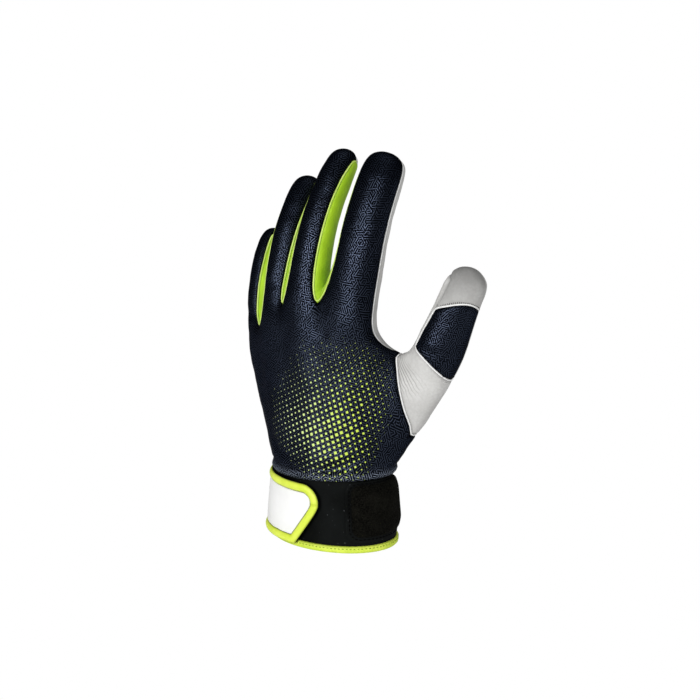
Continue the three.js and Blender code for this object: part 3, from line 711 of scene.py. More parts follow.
# Rows and columns over which the diamonds grow or shrink
PRINT_BAND, PRINT_LOW, PRINT_OUTER, PRINT_INNER = (2, 40), (-10, 5), (-20, -2), (-2, 7)
DIAMOND_SQUASH, DIAMOND_SIZE, DIAMOND_JITTER = 0.62, 0.2, 0.16
DIAMOND_EDGES, DIAMOND_LEAST = (-0.03, 0.03), (0.045, 0.06)


def make_diamond_rows():
    """Staggered rows of diamonds that grow towards a slanted line."""
    s, given, gives = new_group("diamond_rows", ["Mask"], Pitch=0.0036)
    tilt = s.node("VectorRotate", {"Vector": given["Vector"], "Center": PRINT_FOOT, "Angle": PRINT_TURN},
                  rotation_type="Z_AXIS").outputs["Vector"]
    place = s.split(s.vector("SUBTRACT", tilt, PRINT_FOOT))
    u = s.math("DIVIDE", place["X"], given["Pitch"])
    v = s.math("DIVIDE", place["Y"], s.times(given["Pitch"], DIAMOND_SQUASH))
    row = s.math("FLOOR", v)
    shifted = s.math("ADD", u, s.times(s.math("FLOORED_MODULO", row, 2.0), 0.5))
    column = s.math("FLOOR", shifted)
    in_u = s.math("ABSOLUTE", s.math("SUBTRACT", s.math("SUBTRACT", shifted, column), 0.5))
    in_v = s.math("ABSOLUTE", s.math("SUBTRACT", s.math("SUBTRACT", v, row), 0.5))
    inside = s.math("ADD", in_u, s.times(in_v, DIAMOND_SQUASH))
    upright = s.times(s.ramp(row, *PRINT_BAND, 1.0, 0.0), s.ramp(row, *PRINT_LOW))
    sideways = s.times(s.ramp(column, *PRINT_OUTER), s.ramp(column, *PRINT_INNER, 1.0, 0.0))
    cell = s.node("CombineXYZ", {"X": column, "Y": row}).outputs["Vector"]
    jitter = s.node("TexWhiteNoise", {"Vector": cell}, noise_dimensions="2D").outputs["Value"]
    size = s.times(upright, sideways, s.math("MULTIPLY_ADD", jitter, DIAMOND_JITTER, DIAMOND_SIZE))
    edge = s.math("SUBTRACT", size, inside)
    s.feed(gives["Mask"], s.times(s.ramp(edge, *DIAMOND_EDGES), s.ramp(size, *DIAMOND_LEAST)))
    return s.tree


GRAIN_WARP, WARP_SCALE = 0.0012, 420.0
FINE_SCALE, FINE_SHARE, TONE_SCALE = 2600.0, 0.35, 55.0


def make_grain():
    """Pebbled skin: rounded cells broken by fine noise."""
    s, given, gives = new_group("grain", ["Height", "Tone"], Scale=900.0)
    warp = s.node("TexNoise", {"Vector": given["Vector"], "Scale": WARP_SCALE}).outputs["Color"]
    bent = s.vector("ADD", given["Vector"], s.vector("MULTIPLY", warp, (GRAIN_WARP,) * 3))
    cells = s.node("TexVoronoi", {"Vector": bent, "Scale": given["Scale"]}, feature="SMOOTH_F1")
    domes = s.math("SUBTRACT", 1.0, cells.outputs["Distance"])
    fine = s.noise(given["Vector"], FINE_SCALE)
    s.feed(gives["Height"], s.math("MULTIPLY_ADD", fine, FINE_SHARE, domes))
    s.feed(gives["Tone"], s.noise(given["Vector"], TONE_SCALE, 4.0))
    return s.tree


THUMB_WEB = in_frame((39.0, 4.0, 124.0))
FAN_LINES, FAN_WANDER, WANDER_SCALE, BREAK_SCALE = 105.0, 0.22, 60.0, 110.0
# Where the fan of creases starts and ends: metres from the web, bearings, and metres behind it
FAN_START, FAN_END, FAN_SHADE = (0.007, 0.013), (0.024, 0.044), (0.012, 0.034)
FAN_LOW, FAN_HIGH, FAN_BACK = (0.12, 0.26), (0.62, 0.95), (0.006, 0.012)


def make_web_creases():
    """Fine creases in the leather that spread down from the web between thumb and index finger."""
    s, given, gives = new_group("web_creases", ["Mask", "Shade"])
    away = s.vector("SUBTRACT", given["Vector"], tuple(THUMB_WEB))
    place = s.split(away)
    heading = s.math("ARCTAN2", place["X"], s.times(place["Z"], -1.0))
    bearing = s.math("ADD", heading, s.times(s.noise(away, WANDER_SCALE), FAN_WANDER))
    lines = s.ramp(s.math("SINE", s.times(bearing, FAN_LINES)), 0.5, 0.95)
    broken = s.ramp(s.noise(away, BREAK_SCALE), 0.3, 0.5, 0.3, 1.0)
    reach = s.node("VectorMath", {0: away}, operation="LENGTH").outputs["Value"]
    near = s.times(s.ramp(reach, *FAN_START), s.ramp(reach, *FAN_END, 1.0, 0.0))
    sector = s.times(s.ramp(bearing, *FAN_LOW), s.ramp(bearing, *FAN_HIGH, 1.0, 0.0))
    front = s.times(s.ramp(place["Y"], *FAN_BACK, 1.0, 0.0), sector)
    s.feed(gives["Mask"], s.times(lines, broken, near, front))
    s.feed(gives["Shade"], s.times(s.ramp(reach, *FAN_SHADE, 1.0, 0.0), front))
    return s.tree


CROSS_WEAVE = 0.4


def make_ribs():
    """Even woven ribs that run across a direction, with a finer cross weave."""
    s, given, gives = new_group("ribs", ["Height"], Pitch=900.0)
    place = s.split(given["Vector"])
    rib = s.math("SINE", s.times(place["X"], given["Pitch"], 2 * math.pi))
    weave = s.math("SINE", s.times(place["Y"], given["Pitch"], 3 * math.pi))
    s.feed(gives["Height"], s.math("MULTIPLY_ADD", weave, CROSS_WEAVE, rib))
    return s.tree


def make_seam_shade():
    """Colour that darkens into the seams: painted shade, and soil where handling leaves it dull."""
    s, given, gives = new_group("seam_shade", ["Color"], Seam=0.0, Depth=0.5)
    keep = s.math("SUBTRACT", 1.0, s.times(given["Seam"], given["Depth"]), clamp=True)
    grey = s.node("CombineColor", {"Red": keep, "Green": keep, "Blue": keep}).outputs["Color"]
    s.feed(gives["Color"], s.mix(1.0, given["Color"], grey, "MULTIPLY"))
    return s.tree


dash_weave, diamond_rows = make_dash_weave(), make_diamond_rows()
grain, web_creases, ribs, seam_shade = make_grain(), make_web_creases(), make_ribs(), make_seam_shade()


# Finishes
SHEEN_ROUGHNESS = 0.45


def finish(name, roughness, paint, bump, bump_depth, sheen=0.0, specular=0.5):
    """A material whose paint function gives sockets of colour and height, and some of roughness and metal."""
    material = bpy.data.materials.new(name)
    material.use_nodes = True
    shader = material.node_tree.nodes["Principled BSDF"]
    s = Sketch(material.node_tree)
    color, height, *more = paint(s)
    bumps = s.node("Bump", {"Strength": bump, "Distance": bump_depth * MM, "Height": height})
    looks = [("Base Color", color), ("Normal", bumps.outputs["Normal"]), ("Roughness", roughness),
             ("Sheen Weight", sheen), ("Sheen Roughness", SHEEN_ROUGHNESS), ("Specular IOR Level", specular)]
    looks += zip(("Roughness", "Metallic"), more)
    if len(more) == 2:
        looks.append(("Specular Tint", NAVY_EDGE))
    for key, value in looks:
        s.feed(shader.inputs[key], value)
    return material


def attribute(s, name):
    return s.node("Attribute", attribute_name=name, attribute_type="GEOMETRY").outputs["Fac"]


def object_place(s):
    return s.node("TexCoord").outputs["Object"]


def cut_place(s):
    return s.node("UVMap", uv_map="cut").outputs["UV"]


# Painted shade and soil darken the colour into the piece's seams
def shaded(s, color, depth):
    return s.group(seam_shade, {"Color": color, "Seam": attribute(s, "seam"), "Depth": depth})["Color"]


def ribbed(s, pitch):
    return s.group(ribs, {"Vector": cut_place(s), "Pitch": pitch})["Height"]


NAVY_DARK, NAVY_LIGHT = (0.0014, 0.0020, 0.0036, 1), (0.062, 0.077, 0.116, 1)
# The hem colour is painted light on the knit's rolled hem
NAVY_EDGE, NAVY_HEM_LIGHT = (0.2, 0.22, 0.28, 1), (0.24, 0.28, 0.36, 1)
PRINT_LIME, PRINT_PALE = (0.62, 0.78, 0.10, 1), (0.70, 0.82, 0.40, 1)
LEATHER_WORN_AND_SHADE = (0.26, 0.255, 0.245, 1)
THREAD_SHADE = 0.6


def navy_knit(printed):
    """Dark knit with paler, shiny dashes, dull and with painted light along the rolled hem, and printed on
    the back.
    """
    def paint(s):
        place = cut_place(s)
        dashes = s.group(dash_weave, {"Vector": place})["Mask"]
        broad = s.noise(object_place(s), 28.0, 3.0)
        # Painted light along the rolled hem, above the cuff
        rolled = attribute(s, "hem")
        shown = s.times(dashes, s.ramp(broad, 0.25, 0.75, 0.55, 1.0))
        color = s.mix(shown, NAVY_DARK, s.mix(rolled, NAVY_LIGHT, NAVY_HEM_LIGHT))
        height = dashes
        metal = s.times(s.ramp(dashes, 0.0, 0.25), s.ramp(rolled, 0.0, 1.0, 1.0, 0.2))
        if printed:
            mask = s.group(diamond_rows, {"Vector": place})["Mask"]
            fade = s.ramp(s.split(place)["X"], -0.03, 0.02)
            color = s.mix(s.times(mask, 0.93), color, s.mix(fade, PRINT_PALE, PRINT_LIME))
            height = s.math("MULTIPLY_ADD", mask, 0.8, dashes)
            metal = s.times(metal, s.math("SUBTRACT", 1.0, mask))
        height = s.math("MULTIPLY_ADD", ribbed(s, 1800.0), 0.35, height)
        return shaded(s, color, 0.75), height, s.ramp(dashes, 0.0, 1.0, 0.6, 0.33), metal
    return paint


def white_leather(s):
    """Pebbled leather, worn in patches, with painted shade in its creases and below the web of the thumb."""
    place = object_place(s)
    pebble = s.group(grain, {"Vector": place, "Scale": 820.0})
    web = s.group(web_creases, {"Vector": place})
    color = s.mix(s.ramp(pebble["Tone"], 0.3, 0.7), (0.53, 0.525, 0.51, 1), (0.63, 0.626, 0.612, 1))
    color = s.mix(s.ramp(pebble["Height"], 0.55, 0.95, 0.18, 0.0), color, (0.38, 0.37, 0.35, 1))
    color = s.mix(s.ramp(s.noise(place, 42.0, 3.0), 0.47, 0.68, 0.0, 0.24), color, LEATHER_WORN_AND_SHADE)
    # Painted shade below the web of the thumb
    color = s.mix(s.times(web["Shade"], 0.4), color, LEATHER_WORN_AND_SHADE)
    # Painted shade in the creases that fan from the web
    color = s.mix(s.times(web["Mask"], 0.85), color, (0.15, 0.145, 0.135, 1))
    height = s.math("MULTIPLY_ADD", web["Mask"], -4.5, pebble["Height"])
    return shaded(s, color, 0.36), height, s.ramp(pebble["Tone"], 0.3, 0.7, 0.6, 0.48)


def lime_cloth(low, high, pitch, scale=90.0, depth=0.35):
    """Ribbed cloth that changes between two limes, with painted shade and soil in its seams."""
    def paint(s):
        color = s.mix(s.ramp(s.noise(object_place(s), scale, 3.0), 0.3, 0.7), low, high)
        return shaded(s, color, depth), ribbed(s, pitch)
    return paint


def black_neoprene(s):
    """Smooth black face with a fine grain and specks of lint."""
    place = object_place(s)
    face = s.group(grain, {"Vector": place, "Scale": 1500.0})
    lint = s.noise(place, 700.0, 1.0)
    color = s.mix(s.ramp(face["Tone"], 0.35, 0.7), (0.0022, 0.0026, 0.0025, 1), (0.0055, 0.0064, 0.0064, 1))
    color = s.mix(s.ramp(lint, 0.74, 0.8, 0.0, 0.6), color, (0.10, 0.105, 0.11, 1))
    return color, face["Height"], s.ramp(face["Tone"], 0.3, 0.7, 0.5, 0.62)


def loop_pile(s):
    """Dull black tufts, brushed lighter in patches."""
    place = object_place(s)
    tufts = s.noise(place, 1300.0, 3.0, 0.7)
    nap = s.noise(place, 120.0, 4.0)
    color = s.mix(s.ramp(tufts, 0.38, 0.68), (0.0010, 0.0010, 0.0008, 1), (0.008, 0.0078, 0.0060, 1))
    color = s.mix(s.ramp(nap, 0.4, 0.75, 0.0, 0.45), color, (0.010, 0.0097, 0.0074, 1))
    return color, tufts


def ribbed_cloth(low, high, pitch):
    """Woven cloth with paler ribs."""
    def paint(s):
        rib = ribbed(s, pitch)
        return s.mix(s.ramp(rib, -1.0, 1.2), low, high), rib
    return paint


def celled(middle, edge, scale, reach):
    """Small cells with another colour at their edges, for foam and hooks."""
    def paint(s):
        cells = s.node("TexVoronoi", {"Vector": object_place(s), "Scale": scale}).outputs["Distance"]
        return s.mix(s.ramp(cells, 0.1, reach), middle, edge), cells
    return paint


def white_badge(s):
    """Plain white with a fine face."""
    place = object_place(s)
    broad = s.noise(place, 40.0, 3.0)
    color = s.mix(s.ramp(broad, 0.3, 0.7), (0.86, 0.86, 0.85, 1), (0.93, 0.93, 0.925, 1))
    return color, s.noise(place, 1600.0)


def raw_leather(s):
    """Pale cut edge of the leather."""
    place = object_place(s)
    color = s.mix(s.noise(place, 1200.0), (0.72, 0.72, 0.71, 1), (0.9, 0.9, 0.89, 1))
    return color, s.noise(place, 2400.0)


def thread(*color):
    """Twisted thread, darker between its turns."""
    def paint(s):
        wave = s.node("TexWave", {"Vector": object_place(s), "Scale": 900.0, "Distortion": 1.0})
        twist = wave.outputs["Fac"]
        dark = [THREAD_SHADE * c for c in color]
        return s.mix(s.ramp(twist, 0.2, 0.8), (*dark, 1), (*color, 1)), twist
    return paint


gusset_cloth = lime_cloth((0.33, 0.56, 0.011, 1), (0.45, 0.70, 0.022, 1), 1500.0, 60.0, 0.2)
# Roughness, paint, strength and depth in millimetres of the bump, sheen and specular level
FINISHES = {
    "navy_print": (0.6, navy_knit(True), 0.25, 0.2, 0.0, 0.04),
    "navy_plain": (0.6, navy_knit(False), 0.25, 0.2, 0.0, 0.04),
    "leather": (0.55, white_leather, 0.22, 0.3, 0.0, 0.4),
    "gusset": (0.6, gusset_cloth, 0.2, 0.2, 0.15, 0.3),
    "hem_tape": (0.55, lime_cloth((0.60, 0.76, 0.05, 1), (0.74, 0.87, 0.10, 1), 1200.0), 0.3, 0.2),
    "rim_tape": (0.45, lime_cloth((0.66, 0.80, 0.05, 1), (0.78, 0.90, 0.10, 1), 2400.0), 0.12, 0.1),
    "gusset_edge": (0.6, lime_cloth((0.52, 0.70, 0.12, 1), (0.64, 0.80, 0.20, 1), 1500.0), 0.2, 0.2),
    "neoprene": (0.5, black_neoprene, 0.12, 0.2, 0.0, 0.035),
    "pile": (0.95, loop_pile, 0.9, 0.6, 0.01, 0.02),
    "elastic": (0.7, ribbed_cloth((0.006, 0.0065, 0.007, 1), (0.022, 0.023, 0.025, 1), 1100.0), 0.4, 0.3),
    "foam": (0.85, celled((0.74, 0.22, 0.016, 1), (0.5, 0.13, 0.008, 1), 1400.0, 0.7), 0.3, 0.3),
    "tricot": (0.8, ribbed_cloth((0.016, 0.017, 0.02, 1), (0.034, 0.036, 0.042, 1), 1300.0), 0.3, 0.2, 0.2),
    "badge": (0.42, white_badge, 0.08, 0.1),
    "hooks": (0.5, celled((0.02, 0.02, 0.018, 1), (0.004, 0.004, 0.004, 1), 900.0, 0.6), 0.8, 0.6),
    "raw_edge": (0.8, raw_leather, 0.3, 0.2),
    "white_thread": (0.6, thread(0.62, 0.62, 0.60), 0.3, 0.1),
    "grey_thread": (0.7, thread(0.035, 0.035, 0.035), 0.3, 0.1, 0.0, 0.1),
    "black_thread": (0.8, thread(0.002, 0.002, 0.002), 0.3, 0.1, 0.0, 0.03),
    "lime_thread": (0.6, thread(0.26, 0.38, 0.014), 0.3, 0.1, 0.0, 0.2),
}
MATERIALS = {name: finish(name, *row) for name, row in FINISHES.items()}


# Pieces
def write_mark(mesh, name, values):
    mesh.attributes.new(name, "FLOAT", "POINT").data.foreach_set("value", np.asarray(values, np.float32))


def add_piece(name, points, faces, material, body, slot, nodes=(), uv=None, seam=None):
    """A mesh with its cut UVs and its seam mark, on a body of the frame, in the place of CAD nodes."""
    mesh = bpy.data.meshes.new(name)
    mesh.from_pydata(np.asarray(points).tolist(), [], [tuple(int(i) for i in f) for f in faces])
    mesh.materials.append(MATERIALS[material])
    mesh.shade_smooth()
    uv = np.zeros((len(points), 2)) if uv is None else uv
    corner = read_values(mesh.loops, "vertex_index", 1, np.int32).ravel()
    mesh.uv_layers.new(name="cut").data.foreach_set("uv", np.asarray(uv, np.float32)[corner].ravel())
    write_mark(mesh, "seam", np.zeros(len(points)) if seam is None else seam)
    obj = bpy.data.objects.new(name, mesh)
    scene.collection.objects.link(obj)
    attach(obj, body)
    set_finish(obj, slot)
    if nodes:
        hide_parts(*nodes)
    return obj


def flat_uv(picked, used):
    """UVs of a panel turned and scaled to lie over the frame's X and Z, in metres."""
    uv = np.zeros((len(skin), 2))
    uv[skin_quads[picked].ravel()] = quad_uv[picked].reshape(-1, 2)
    flat, target = uv[used], skin[used][:, [0, 2]]
    from_mean, to_mean = flat.mean(0), target.mean(0)
    a = (flat - from_mean) @ np.array([1, 1j])
    b = (target - to_mean) @ np.array([1, 1j])
    fit = (np.conj(a) @ b) / (np.conj(a) @ a)
    corners = skin_quads[picked]
    true = np.linalg.norm(skin[corners[:, 0]] - skin[corners[:, 1]], axis=1).sum()
    drawn = np.linalg.norm(uv[corners[:, 0]] - uv[corners[:, 1]], axis=1).sum()
    laid = a * fit / abs(fit) * (true / drawn)
    return np.stack([laid.real, laid.imag], 1) + to_mean


# Marks of the seams and the rolled hem: painted shade and soil in the seams, painted light along the rolled
# hem, and painted shade that grows up the thumb's cap
HEM_PLACE, HEM_REACH = 2.0, 2.6
SHADE_AND_SOIL, SHADE_AND_SOIL_REACH = 0.35, 3.0
CAP_FOOT, CAP_HEIGHT, CAP_SEAM, CAP_SHADE, CAP_SHADE_RISE = 134, 26, 0.35, 0.3, 1.25
# Painted light along the knit's rolled hem above the cuff
hem_light_mark = bell(wrist_distance, HEM_PLACE, HEM_REACH)
# The groove of each seam gets painted shade, and the cloth beside it painted shade and soil
seam_mark = bell(seam_distance, 0, GROOVE_HALF_WIDTH) + SHADE_AND_SOIL * np.exp(-seam_distance / SHADE_AND_SOIL_REACH)
# The thumb's cap darkens towards its top: painted shade
cap_rise = np.clip((local[:, 2] - CAP_FOOT) / CAP_HEIGHT, 0, 1)
cap_shade_mark = np.maximum(CAP_SEAM * seam_mark, CAP_SHADE + CAP_SHADE_RISE * cap_rise)
seam_mark = np.where(point_panel == TIP, cap_shade_mark, seam_mark)


def add_layer(name, picked, outer, inner, material, slot, nodes, seam=None):
    """Closed layer of the picked skin quads between an outer and an inner face."""
    used, index = np.unique(skin_quads[picked], return_inverse=True)
    n = len(used)
    faces = closed_faces(index.reshape(-1, 4), n)
    points = np.concatenate([outer[used], inner[used]])
    uv = np.tile(flat_uv(picked, used), (2, 1))
    mark = np.zeros(2 * n) if seam is None else np.concatenate([seam[used], np.zeros(n)])
    obj = add_piece(name, points, faces, material, "glove", slot, nodes, uv, mark)
    write_mark(obj.data, "hem", np.concatenate([hem_light_mark[used], np.zeros(n)]))
    return obj


under_panel = skin - skin_normals * (PANEL_THICKNESS * MM)
PANEL_FINISH = {
    "back_knit": ("navy_print", "knit_navy", "back_panel"),
    "palm_leather": ("leather", "leather_white", "palm_panel"),
    "gusset_index_middle": ("gusset", "gusset_lime", "fourchette_index_middle"),
    "gusset_middle_ring": ("gusset", "gusset_lime", "fourchette_middle_ring"),
    "gusset_ring_little": ("gusset", "gusset_lime", "fourchette_ring_little"),
    "thumb_leather": ("leather", "leather_white", "thumb_panel"),
    "thumb_knuckle_knit": ("navy_plain", "knit_navy", "thumb_knuckle_patch"),
    "thumb_tip_leather": ("leather", "leather_white", "thumb_tip_cap"),
}
for panel, (name, (material, slot, node)) in enumerate(PANEL_FINISH.items()):
    picked = np.flatnonzero(quad_panel == panel)
    add_layer(name, picked, skin_top, under_panel, material, slot, [node], seam_mark)

# Pads and lining behind the leather
PAD_TOP = PANEL_THICKNESS + LAYER_GAP
PAD_EDGE, FINGER_PAD_EDGE, PAD_RIM = 7, 5, 0.15


def is_lining(part, row, line, side):
    return part == "hand" and PALM_INNER <= line < PALM_OUTER and row >= 1


def is_mid_palm(part, row, line, side):
    return is_lining(part, row, line, side) and is_palm(line) and is_palm(line + 1) and row <= 3


def is_digit_pad(name):
    return lambda part, row, line, side: part == name and side in ("PR-P", "P-PU") and row <= 1


def at_depth(depth):
    """The skin's points, moved in by depths in millimetres."""
    return skin - skin_normals * (np.broadcast_to(depth, len(skin)) * MM)[:, None]


def rounded(share, edge):
    """Height across a rounded edge, from the edge's own share of it up to 1."""
    return edge + (1 - edge) * np.sqrt(1 - (1 - share) ** 2)


def crowned(picked, thickness, edge):
    """Depth of a pad's inner face: thin at its edge, full in the middle."""
    rim = np.unique(rim_edges(skin_quads[picked]))
    used = np.unique(skin_quads[picked])
    full = np.zeros(len(skin))
    share = np.clip(distance_to(skin[used], skin[rim]) / (edge * MM), 0, 1)
    full[used] = thickness * rounded(share, PAD_RIM)
    return full


mid_palm = quads_where(is_mid_palm)
centre_z = local[skin_quads[mid_palm]].mean(1)[:, 2]
pads = {"palm": (mid_palm[centre_z > WRIST_HEIGHT + PAD_START], PAD_THICKNESS, PAD_EDGE)}
for digit in ("index", "thumb"):
    pads[digit] = (quads_where(is_digit_pad(digit)), FINGER_PAD_THICKNESS, FINGER_PAD_EDGE)
for name, pad_sizes in pads.items():
    low_face = at_depth(PAD_TOP + crowned(*pad_sizes))
    pad = add_layer(name + "_cushion", pad_sizes[0], at_depth(PAD_TOP), low_face, "foam", "foam",
                    [name + "_pad"])
palm_crown = crowned(*pads["palm"])
over_pad = PAD_TOP + np.where(palm_crown > 0, palm_crown + LAYER_GAP, 0)
add_layer("palm_lining_cloth", quads_where(is_lining), at_depth(over_pad),
          at_depth(over_pad + LINING_THICKNESS), "tricot", "lining_grey", ["palm_lining"])


# Swept edges and stitches
WELT_PITCH, WELT_SIDES, WELT_END = 1.2, 8, 0.35
STITCH_SIDES = 6
# Rings of a stitch: place along its length and share of its radius
STITCH_RINGS = ((-0.5, 0.25), (-0.32, 0.9), (0.32, 0.9), (0.5, 0.25))
SHORTEST_SEAM = 5


def resampled(points, pitch):
    """Rows at even steps along a line. The first three columns are the place."""
    run = np.concatenate([[0], np.cumsum(np.linalg.norm(np.diff(points[:, :3], axis=0), axis=1))])
    count = max(2, int(round(run[-1] / pitch)) + 1)
    wanted = np.linspace(0, run[-1], count)
    return np.stack([np.interp(wanted, run, points[:, k]) for k in range(points.shape[1])], 1)


def relaxed(points, rounds=6):
    """Rows drawn towards their neighbours, with both ends held."""
    points = points.copy()
    for _ in range(rounds):
        points[1:-1] = 0.5 * points[1:-1] + 0.25 * (points[:-2] + points[2:])
    return points


def sweep_faces(rings, sides):
    """Faces between rings of points that follow one another, with both ends filled."""
    faces = []
    for k in range(rings - 1):
        for i in range(sides):
            j = (i + 1) % sides
            faces.append((k * sides + i, k * sides + j, (k + 1) * sides + j, (k + 1) * sides + i))
    last = (rings - 1) * sides
    return faces + [tuple(range(sides - 1, -1, -1)), tuple(last + i for i in range(sides))]


def tube(line, normals, half_wide, half_high):
    """Flattened tube along a line, drawn in at both ends: points and faces."""
    along = unit_rows(np.gradient(line, axis=0))
    across = unit_rows(np.cross(along, normals))
    up = np.cross(across, along)
    turn = 2 * math.pi * np.arange(WELT_SIDES) / WELT_SIDES
    taper = np.ones((len(line), 1, 1))
    taper[[0, -1]] = WELT_END
    rings = (line[:, None] + across[:, None] * (np.cos(turn) * half_wide)[None, :, None] * taper
             + up[:, None] * (np.sin(turn) * half_high)[None, :, None] * taper)
    return rings.reshape(-1, 3), sweep_faces(len(line), WELT_SIDES)


def joined(parts):
    """Points and faces of several parts as one."""
    points, faces, base = [], [], 0
    for p, f in parts:
        points.append(p)
        faces += [tuple(i + base for i in face) for face in f]
        base += len(p)
    return np.concatenate(points), faces


def seam_line(keys, lift):
    """Lines of the seams between pairs of panels, lifted off the skin, with the normals there."""
    lines = []
    for line in chains([e for key in keys for e in seam_edges.get(key, [])]):
        if len(line) < SHORTEST_SEAM:
            continue
        both = np.concatenate([skin[line] + skin_normals[line] * lift * MM, skin_normals[line]], 1)
        even = relaxed(resampled(both, WELT_PITCH * MM))
        lines.append((even[:, :3], unit_rows(even[:, 3:])))
    return lines


def add_welt(name, keys, half_wide, half_high, lift, material, slot):
    """Rolled edge along the seams between pairs of panels."""
    parts = [tube(line, normals, half_wide * MM, half_high * MM) for line, normals in seam_line(keys, lift)]
    points, faces = joined(parts)
    return add_piece(name, points, faces, material, "glove", slot)


add_welt("leather_raw_edge", [(BACK, PALM), (BACK, THUMB)], 0.45, 0.4, -0.2, "raw_edge", "leather_white")
add_welt("thumb_raw_edge", [(THUMB, KNUCKLE), (KNUCKLE, TIP)], 0.5, 0.45, -0.15, "raw_edge", "leather_white")
add_welt("thumb_seam_cord", [(PALM, THUMB)], 0.4, 0.35, -0.3, "raw_edge", "leather_white")
add_welt("gusset_edge", [(BACK, g) for g in GUSSETS], 0.5, 0.42, -0.2, "gusset_edge", "gusset_lime")
add_welt("gusset_palm_edge", [(PALM, g) for g in GUSSETS], 0.5, 0.4, -0.25, "raw_edge", "leather_white")


def one_stitch(length, radius):
    """A rounded bar along X, lying on XY."""
    turns = 2 * math.pi * np.arange(STITCH_SIDES) / STITCH_SIDES
    points = [(x * length, radius * r * math.cos(t), radius * r * math.sin(t))
              for x, r in STITCH_RINGS for t in turns]
    return np.array(points), sweep_faces(len(STITCH_RINGS), STITCH_SIDES)


def stitch_row(name, line, normals, material, slot, pitch, length, radius, swing=0.0):
    """Stitches along a line in metres. A swing turns every second one the other way."""
    even = resampled(np.concatenate([line, normals], 1), pitch * MM)
    spots, ups = even[:, :3], even[:, 3:]
    along = np.gradient(spots, axis=0)
    model, faces = one_stitch(length * MM, radius * MM)
    parts = []
    for k in range(len(spots)):
        forward, up = unit(along[k]), unit(ups[k])
        side = unit(np.cross(up, forward))
        up = np.cross(forward, side)
        if swing:
            angle = math.radians(swing if k % 2 else -swing)
            forward, side = (forward * math.cos(angle) + side * math.sin(angle),
                             side * math.cos(angle) - forward * math.sin(angle))
        parts.append((spots[k] + model @ np.stack([forward, side, up]), faces))
    return add_piece(name, *joined(parts), material, "glove", slot)


NEAR_POINTS, NEAR_EASE, ROW_ROUNDS = 6, 0.0003, 4


def row_beside_seam(keys, panel, off):
    """Lines that run beside a seam on one of its panels, at a distance, on the relief."""
    lines = []
    targets = np.flatnonzero(point_panel == panel)
    tree = tree_of(skin[targets])
    for line, normals in seam_line(keys, 0):
        side = unit_rows(np.cross(np.gradient(line, axis=0), normals))
        shifts = [line + side * sign * off * MM for sign in (1, -1)]
        gaps = [np.mean([tree.find(p)[2] for p in shifted]) for shifted in shifts]
        rows = []
        for p in shifts[int(np.argmin(gaps))]:
            near = targets[[k for _, k, _ in tree.find_n(p, NEAR_POINTS)]]
            weight = 1 / (np.linalg.norm(skin[near] - p, axis=1) + NEAR_EASE)
            up = unit(weight @ skin_normals[near])
            rise = weight @ np.einsum("ij,ij->i", skin_top[near] - p, skin_normals[near]) / weight.sum()
            rows.append(np.concatenate([p + up * rise, up]))
        rows = relaxed(np.array(rows), ROW_ROUNDS)
        lines.append((rows[:, :3], rows[:, 3:]))
    return lines


def add_seam_stitches(name, keys, panel, off, material, pitch=2.0, length=1.15, radius=0.16, swing=0.0):
    for k, (line, normals) in enumerate(row_beside_seam(keys, panel, off)):
        row_name = name + "_" + str(k + 1)
        stitch_row(row_name, line, normals, material, "leather_white", pitch, length, radius, swing)


add_seam_stitches("tip_stitches", [(KNUCKLE, TIP)], TIP, 1.2, "grey_thread", 1.15, 1.5, 0.2, 80)
add_seam_stitches("thumb_base_stitches", [(THUMB, KNUCKLE)], THUMB, 1.6, "white_thread")
add_seam_stitches("thumb_seam_stitches", [(PALM, THUMB)], THUMB, 1.6, "white_thread")


# Wrist pieces
BORDER_PITCH, SHEET_RIM, EDGE_SHADE_AND_SOIL_REACH = 0.4, 0.12, 0.8


def edge_spread(rows):
    """Shares from 0 to 1, closer together at both ends."""
    return 0.5 - 0.5 * np.cos(math.pi * (np.arange(rows + 1) / rows))


def places_between(start, end, step=1.5):
    count = int(math.ceil((end - start) / step))
    return start + (end - start) * edge_spread(count)


def wrapped_sheet(name, places, edges, under, thickness, rounding, material, body, slot, nodes,
                  rows=14, crown=0.0):
    """Slab on the cuff between a lower and an upper edge, with rounded edges and a crowned face.

    Its edges and the lift under it are plain sizes, or functions of the place.
    """
    grid = []
    for p in places:
        low, high = edges(p) if callable(edges) else edges
        grid.append([(p, lerp(low, high, r)) for r in edge_spread(rows)])
    grid = np.array(grid)
    border = np.concatenate([grid[:, 0], grid[-1], grid[::-1, -1], grid[0, ::-1]])
    border = resampled(border, BORDER_PITCH)
    flat = grid.reshape(-1, 2)
    gap = np.array([np.linalg.norm(border - p, axis=1).min() for p in flat])
    soft = np.clip(gap / rounding, 0, 1)
    lift = thickness * rounded(soft, SHEET_RIM) + crown * (1 - (1 - gap / gap.max()) ** 2)
    base = under(flat[:, 0]) if callable(under) else under
    points = np.concatenate([on_cuff(*flat.T, base + lift), on_cuff(*flat.T, base)])
    n = len(flat)
    number = np.arange(n).reshape(grid.shape[:2])
    quads = np.stack([number[:-1, :-1], number[:-1, 1:], number[1:, 1:], number[1:, :-1]], -1).reshape(-1, 4)
    faces = closed_faces(quads, n)
    # Painted shade and soil towards the sheet's edges, as a seam mark
    mark = np.concatenate([np.exp(-gap / EDGE_SHADE_AND_SOIL_REACH), np.zeros(n)])
    uv = np.tile(flat * MM, (2, 1))
    return add_piece(name, in_frame(points), faces, material, body, slot, nodes, uv, mark)


def ring_sweep(name, places, profile_at, material, slot, nodes, seam_at=None):
    """Closed profile of (height, lift) points swept round the cuff, with both ends filled."""
    profiles = [np.array(profile_at(p)) for p in places]
    points = np.concatenate([on_cuff(p, *profile.T) for p, profile in zip(places, profiles)])
    faces = sweep_faces(len(places), len(profiles[0]))
    around = np.concatenate([[0], np.cumsum(np.linalg.norm(np.diff(profiles[0], axis=0), axis=1))])
    uv = np.array([(p * MM, r * MM) for p in places for r in around])
    seam = None if seam_at is None else np.array([seam_at(*q) for profile in profiles for q in profile])
    return add_piece(name, in_frame(points), faces, material, "glove", slot, nodes, uv, seam)


